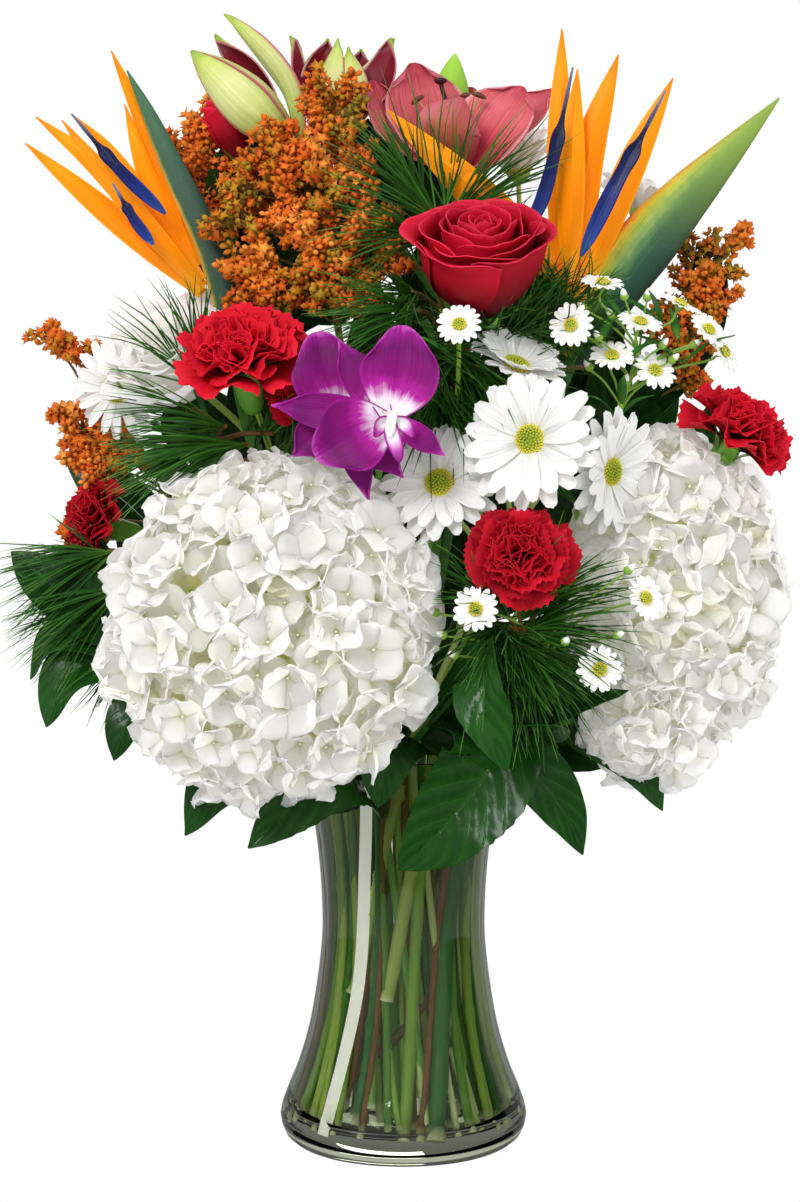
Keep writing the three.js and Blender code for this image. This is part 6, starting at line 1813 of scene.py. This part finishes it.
# For each solid: how far up its stem the leaf leaves, the points to its tip, width, upper side, saw edge.
LEAVES = {
    "leaves_left": [
        (0.97, [(-188, -38, 316), (-217, -30, 338)], 36, (-0.2, -0.8, 0.5), False),
        (0.95, [(-180, -46, 274), (-196, -50, 243)], 36, (-0.4, -0.8, 0.4), False),
        (0.88, [(-146, -56, 252), (-158, -60, 226)], 32, (-0.3, -0.9, 0.4), False),
        (0.92, [(-170, -20, 290), (-200, -6, 282)], 24, (-0.2, 0.2, 0.9), False),
        (0.90, [(-186, -40, 292), (-206, -38, 268)], 30, (-0.4, -0.7, 0.5), False),
    ],
    "hydrangea_left_stem": [
        (0.60, [(-88, -84, 224), (-117, -90, 190)], 44, DOWN_FRONT, False),
        (0.57, [(-36, -84, 222), (-83, -95, 184)], 44, DOWN_FRONT, True),
        (0.56, [(-70, -40, 224), (-104, -50, 204)], 32, (-0.3, -0.2, 0.9), False),
    ],
    "leaves_front": [
        (0.98, [(46, -84, 232), (24, -90, 198), (-3, -85, 170)], 54, DOWN_FRONT, True),
        (0.93, [(62, -74, 226), (86, -70, 200), (98, -60, 174)], 34, DOWN_FRONT, False),
        (0.90, [(-8, -80, 232), (-14, -84, 204)], 30, DOWN_FRONT, False),
        (0.98, [(40, -106, 284), (42, -124, 262), (54, -122, 229)], 38, (-0.2, -0.95, 0.15), True),
        (0.86, [(-40, -76, 226), (-62, -84, 206)], 28, DOWN_FRONT, False),
    ],
    "hydrangea_right_stem": [
        (0.72, [(140, -22, 232), (178, -20, 243)], 28, (0.1, -0.8, 0.6), False),
        (0.66, [(100, -90, 262), (119, -98, 269)], 26, (0.2, -0.8, 0.6), True),
    ],
    "leaves_right": [
        (0.97, [(124, -60, 224), (141, -64, 199)], 26, (0.3, -0.8, 0.4), False),
        (0.94, [(120, -20, 240), (150, 4, 226)], 28, (0.5, -0.2, 0.8), False),
        (0.90, [(70, -90, 250), (36, -118, 256)], 34, (0, -0.7, 0.7), True),
    ],
    "leaves_back": [
        (0.98, [(-20, 116, 370), (-40, 128, 410)], 36, (0, 0.9, -0.2), False),
        (0.95, [(34, 116, 345), (66, 130, 380)], 34, (0.2, 0.9, -0.2), False),
        (0.84, [(40, 96, 280), (78, 100, 262)], 36, (0.2, 0.7, 0.6), True),
        (0.78, [(-12, 96, 250), (-20, 100, 212)], 36, (0, 0.8, 0.5), True),
        (0.88, [(-66, 92, 352), (-104, 84, 382)], 34, (-0.3, 0.9, 0.2), False),
        (0.86, [(62, 98, 318), (108, 92, 330)], 34, (0.3, 0.9, 0.2), False),
        (0.72, [(-52, 78, 256), (-92, 72, 240)], 34, (-0.3, 0.8, 0.6), False),
        (0.97, [(10, 104, 386), (24, 96, 436)], 32, (0.1, 0.95, -0.1), False),
        (0.80, [(-60, 88, 300), (-92, 80, 330)], 32, (-0.3, 0.9, 0.2), True),
        (0.82, [(24, 100, 316), (40, 104, 352)], 32, (0.1, 0.95, 0.2), True),
    ],
}
for number, (node, rows_of_leaves) in enumerate(LEAVES.items()):
    stem = next(name for name in STEMS if node_of[name] == node)
    for kind, finish in ((False, leaf_glossy), (True, leaf_quilted)):
        made = [
            leaf(lines[stem][int(share * LAST)], path, width, face, toothed)
            for share, path, width, face, toothed in rows_of_leaves if toothed is kind
        ]
        if made:
            name = f"{node}_{'quilted' if kind else 'glossy'}_leaves"
            shades = [(0.3 + 0.38 * k + 0.1 * number) % 1 for k in range(len(made))]
            piece(sheets_object(name, made, shades, thick=0.6 * MM), finish, "leaf")

# %% [markdown]
# Greenery is packed between the flowers so that no stem shows from outside: dark salal leaves that stand
# upright in the middle of the bunch. They have fewer points, because only parts of them are seen, in shade.
# Their tints are kept darker than those of the outer leaves, painted shade for the depth of the bunch.

# %% Inner greenery
def inner_leaf(start, path, width, face):
    """A leaf with fewer points that grows from the nearest stem."""
    stem = min(lines.values(), key=lambda line: np.linalg.norm(line - start, axis=1).min())
    return leaf(lowest_near(stem, start, drop=4), [start, *path], width, face, rows=22, cols=9)


draw = random.Random(77)
made = []
for x in range(-132, 133, 33):
    top = np.interp(x, [-132, -100, -20, 40, 90, 140], [430, 575, 590, 570, 520, 490])
    for level in range(6):
        z = 318 + 42 * level + draw.uniform(-12, 12)
        if z > top - 40:
            continue
        start = np.array([x + draw.uniform(-14, 14), 34 + draw.uniform(-12, 26), z - 24])
        way = np.array([0.006 * x + draw.uniform(-0.6, 0.6), draw.uniform(-0.25, 0.25), 1.0])
        tip = start + unit(way) * draw.uniform(62, 82)
        if tip[0] < -130 and tip[2] > 450:  # it would show past the white rose
            continue
        middle = start + unit(way) * 34 + (draw.uniform(-4, 4), draw.uniform(-6, 0), 0)
        face = (draw.uniform(-0.5, 0.5), -1, draw.uniform(-0.2, 0.6))
        made.append(inner_leaf(start, [middle, tip], draw.uniform(30, 38), face))
for x, z in (
    (-12, 524), (6, 518), (-100, 520), (-84, 516), (-24, 530), (-84, 468), (-122, 402), (116, 414),
    (170, 368), (112, 404), (-70, 482), (-84, 540), (92, 336),
):
    start = np.array([x, 30, z])
    made.append(inner_leaf(
        start, [start + (2, -3, 26), start + (4, -2, 50)], 30, (draw.uniform(-0.3, 0.3), -1, 0.3),
    ))
for number in range(14):
    start = np.array([-58 + 12.5 * number, draw.uniform(-34, 0), 232 + draw.uniform(-6, 14)])
    way = np.array([0.012 * start[0] + draw.uniform(-0.5, 0.5), draw.uniform(-0.5, 0.0), 1.0])
    tip = start + unit(way) * draw.uniform(60, 80)
    middle = start + unit(way) * 32 + (0, draw.uniform(-8, 0), 0)
    made.append(inner_leaf(start, [middle, tip], draw.uniform(28, 36), (draw.uniform(-0.4, 0.4), -1, 0.3)))
# The tints keep to the darker part of the range: painted shade deep in the bunch.
piece(
    sheets_object("inner_leaves", made, [draw.uniform(0, 0.6) for _ in made], thick=0.6 * MM), leaf_glossy,
    "leaf",
)
piece(
    sheets_object("leaf_ends", scraps, [draw.random() for _ in scraps], thick=0.6 * MM), leaf_glossy, "leaf",
)

# %% [markdown]
# ## The asters
# The little white daisies on branching green stems are asters: some eighteen narrow rays round a small yellow
# button. They sit at the ends of thin side stems with narrow leaves and a few shut buds.

# %% Small stars
ASTERS = {
    "aster_right": [
        ((89, -72, 462), (-0.3, -0.9, 0.2)), ((107, -58, 485), (0.1, -0.3, 0.9)),
        ((127, -62, 464), (0.2, -0.4, 0.85)), ((165, -52, 460), (0.5, -0.5, 0.6)),
        ((136, -52, 438), (0.3, -0.7, 0.5)), ((112, -60, 446), (0, -0.6, 0.75)),
        ((150, -46, 474), (0.4, -0.2, 0.85)), ((174, -48, 448), (0.7, -0.4, 0.4)),
    ],
    "aster_low": [
        ((37, -126, 315), (-0.2, -0.95, 0.1)), ((102, -121, 283), (0.05, -0.98, 0.1)),
        ((127, -106, 319), (0.6, -0.7, 0.3)),
    ],
    "aster_left": [((29, -96, 462), (-0.1, -0.8, 0.5))],
}
ASTER_BUDS = {
    "aster_right": [
        (96, -58, 472), (118, -64, 478), (140, -56, 452), (104, -66, 456), (132, -48, 478), (158, -46, 452),
        (120, -54, 432), (100, -52, 440), (146, -50, 444), (112, -50, 468),
    ],
    "aster_low": [
        (20, -112, 300), (84, -124, 298), (118, -108, 334), (26, -116, 290), (112, -112, 300),
        (16, -112, 312),
    ],
    "aster_left": [],
}
NARROW = tables([(0, 0.4), (0.3, 1.0), (0.6, 0.8), (1, 0.03)])
aster_white = petal_material(
    "white_aster_ray", [(0.0, "#e6ecc4"), (0.2, "#f8f8f2"), (1.0, "#fbfbfa")],
    ribs=(5, 1), blotch=0.02, vary=0.04, through=(1.0, 0.98, 0.9),
)
leaf_plain = petal_material(
    "thin_green_leaf", [(0.0, "#568a30"), (0.4, "#2f6e24"), (1.0, "#4a8a36")],
    edge="#285e1e", edge_from=0.4, ribs=(10, 2), vary=0.25, roughness=0.42, soft=0.0,
)
for number, (node, heads) in enumerate(ASTERS.items()):
    draw = random.Random(81 + number)
    sheets, discs, disc_tints, branches, greens = [], [], [], [], []
    for at, facing in heads:
        at = np.array(at, float)
        axes = axes_at(facing, (draw.uniform(-1, 1), draw.uniform(-1, 1), 1))
        made = rays(13, 17, 3.7, [(14, -4, 1.0)], draw.random(), rows=5, cols=4, groove=0.0)
        sheets += [moved(s * (1, 1, 0.8), at, axes) * MM for s in made]
        spots = dome_places(40, (3.3, 3.3, 1.7), 0.0, draw, lean=0.1)
        discs.append(set_in(spots, at + axes[:, 2] * 0.4, axes))
        disc_tints += list(np.linspace(0.35, 1, 40))
        cup = moved([(0, 0, -4.5), (0, 0, -3.4), (0, 0, -1.8), (0, 0, -0.2)], at, axes)
        greens.append((cup * MM, np.array([0.9, 2.2, 2.9, 2.6]) * MM, 0.42))
        root = lowest_near(lines[node], at, drop=22)
        neck = at - axes[:, 2] * 4.2
        bend = neck - axes[:, 2] * 7
        greens.append((
            line_through([root, (root + bend) / 2 + (0, 0, 3), bend, neck], 14) * MM, 0.75 * MM, 0.42,
        ))
    for at in ASTER_BUDS[node]:
        at = np.array(at, float)
        root = lowest_near(lines[node], at, drop=16)
        out = unit(at - root + (0, 0, 4))
        greens.append((
            line_through([root, (root + at) / 2 + (0, 0, 2), at - out * 3], 9) * MM, 0.6 * MM, 0.42,
        ))
        ball = line_through([at - out * 3.2, at + out * 1.6], 5)
        greens.append((ball * MM, np.array([0.8, 2.2, 2.6, 2.1, 1.2]) * MM, 0.4))
        branches.append((
            line_through([at, at + out * 4.2], 5) * MM, np.array([1.6, 1.9, 1.7, 1.2, 0.3]) * MM, 0.5,
        ))
    white = sheets_object(node + "_rays", sheets, [draw.random() for _ in sheets], thick=0.25 * MM)
    if branches:
        shut = tubes_object(node + "_shut_buds", branches, 8)
        white = joined(node + "_rays", white, shut)
    piece(white, aster_white, "aster", node)
    piece(copies(node + "_buttons", fine_bead, np.concatenate(discs), disc_tints), button_yellow, "aster")
    piece(tubes_object(node + "_branches", greens, 8), stem_green, "aster")
    blades = []
    for k in range(16 if node == "aster_right" else 9):
        if node != "aster_right" or k < 6:
            root = lines[node][int((0.66 + 0.33 * draw.random()) * LAST)]
        else:
            head = np.array(heads[k % len(heads)][0], float)
            root = lowest_near(lines[node], head, drop=10) * 0.45 + head * 0.55
        turn = draw.uniform(0, 6.3)
        out = np.array([math.cos(turn), math.sin(turn) - 0.3, 0.55])
        reach = draw.uniform(20, 32)
        path = [root + out * reach * 0.5 + (0, 0, 3), root + out * reach]
        blades.append(petal(
            [root, *path], (0.1, -0.5, 0.9), draw.uniform(3.6, 5.5), NARROW, rows=10, cols=5,
            lift=lambda u, v: 0.5 * np.abs(u),
        ) * MM)
    piece(
        sheets_object(node + "_narrow_leaves", blades, [draw.random() for _ in blades], thick=0.4 * MM),
        leaf_plain, "aster",
    )
removed(button_bead, fine_bead, bud, star)
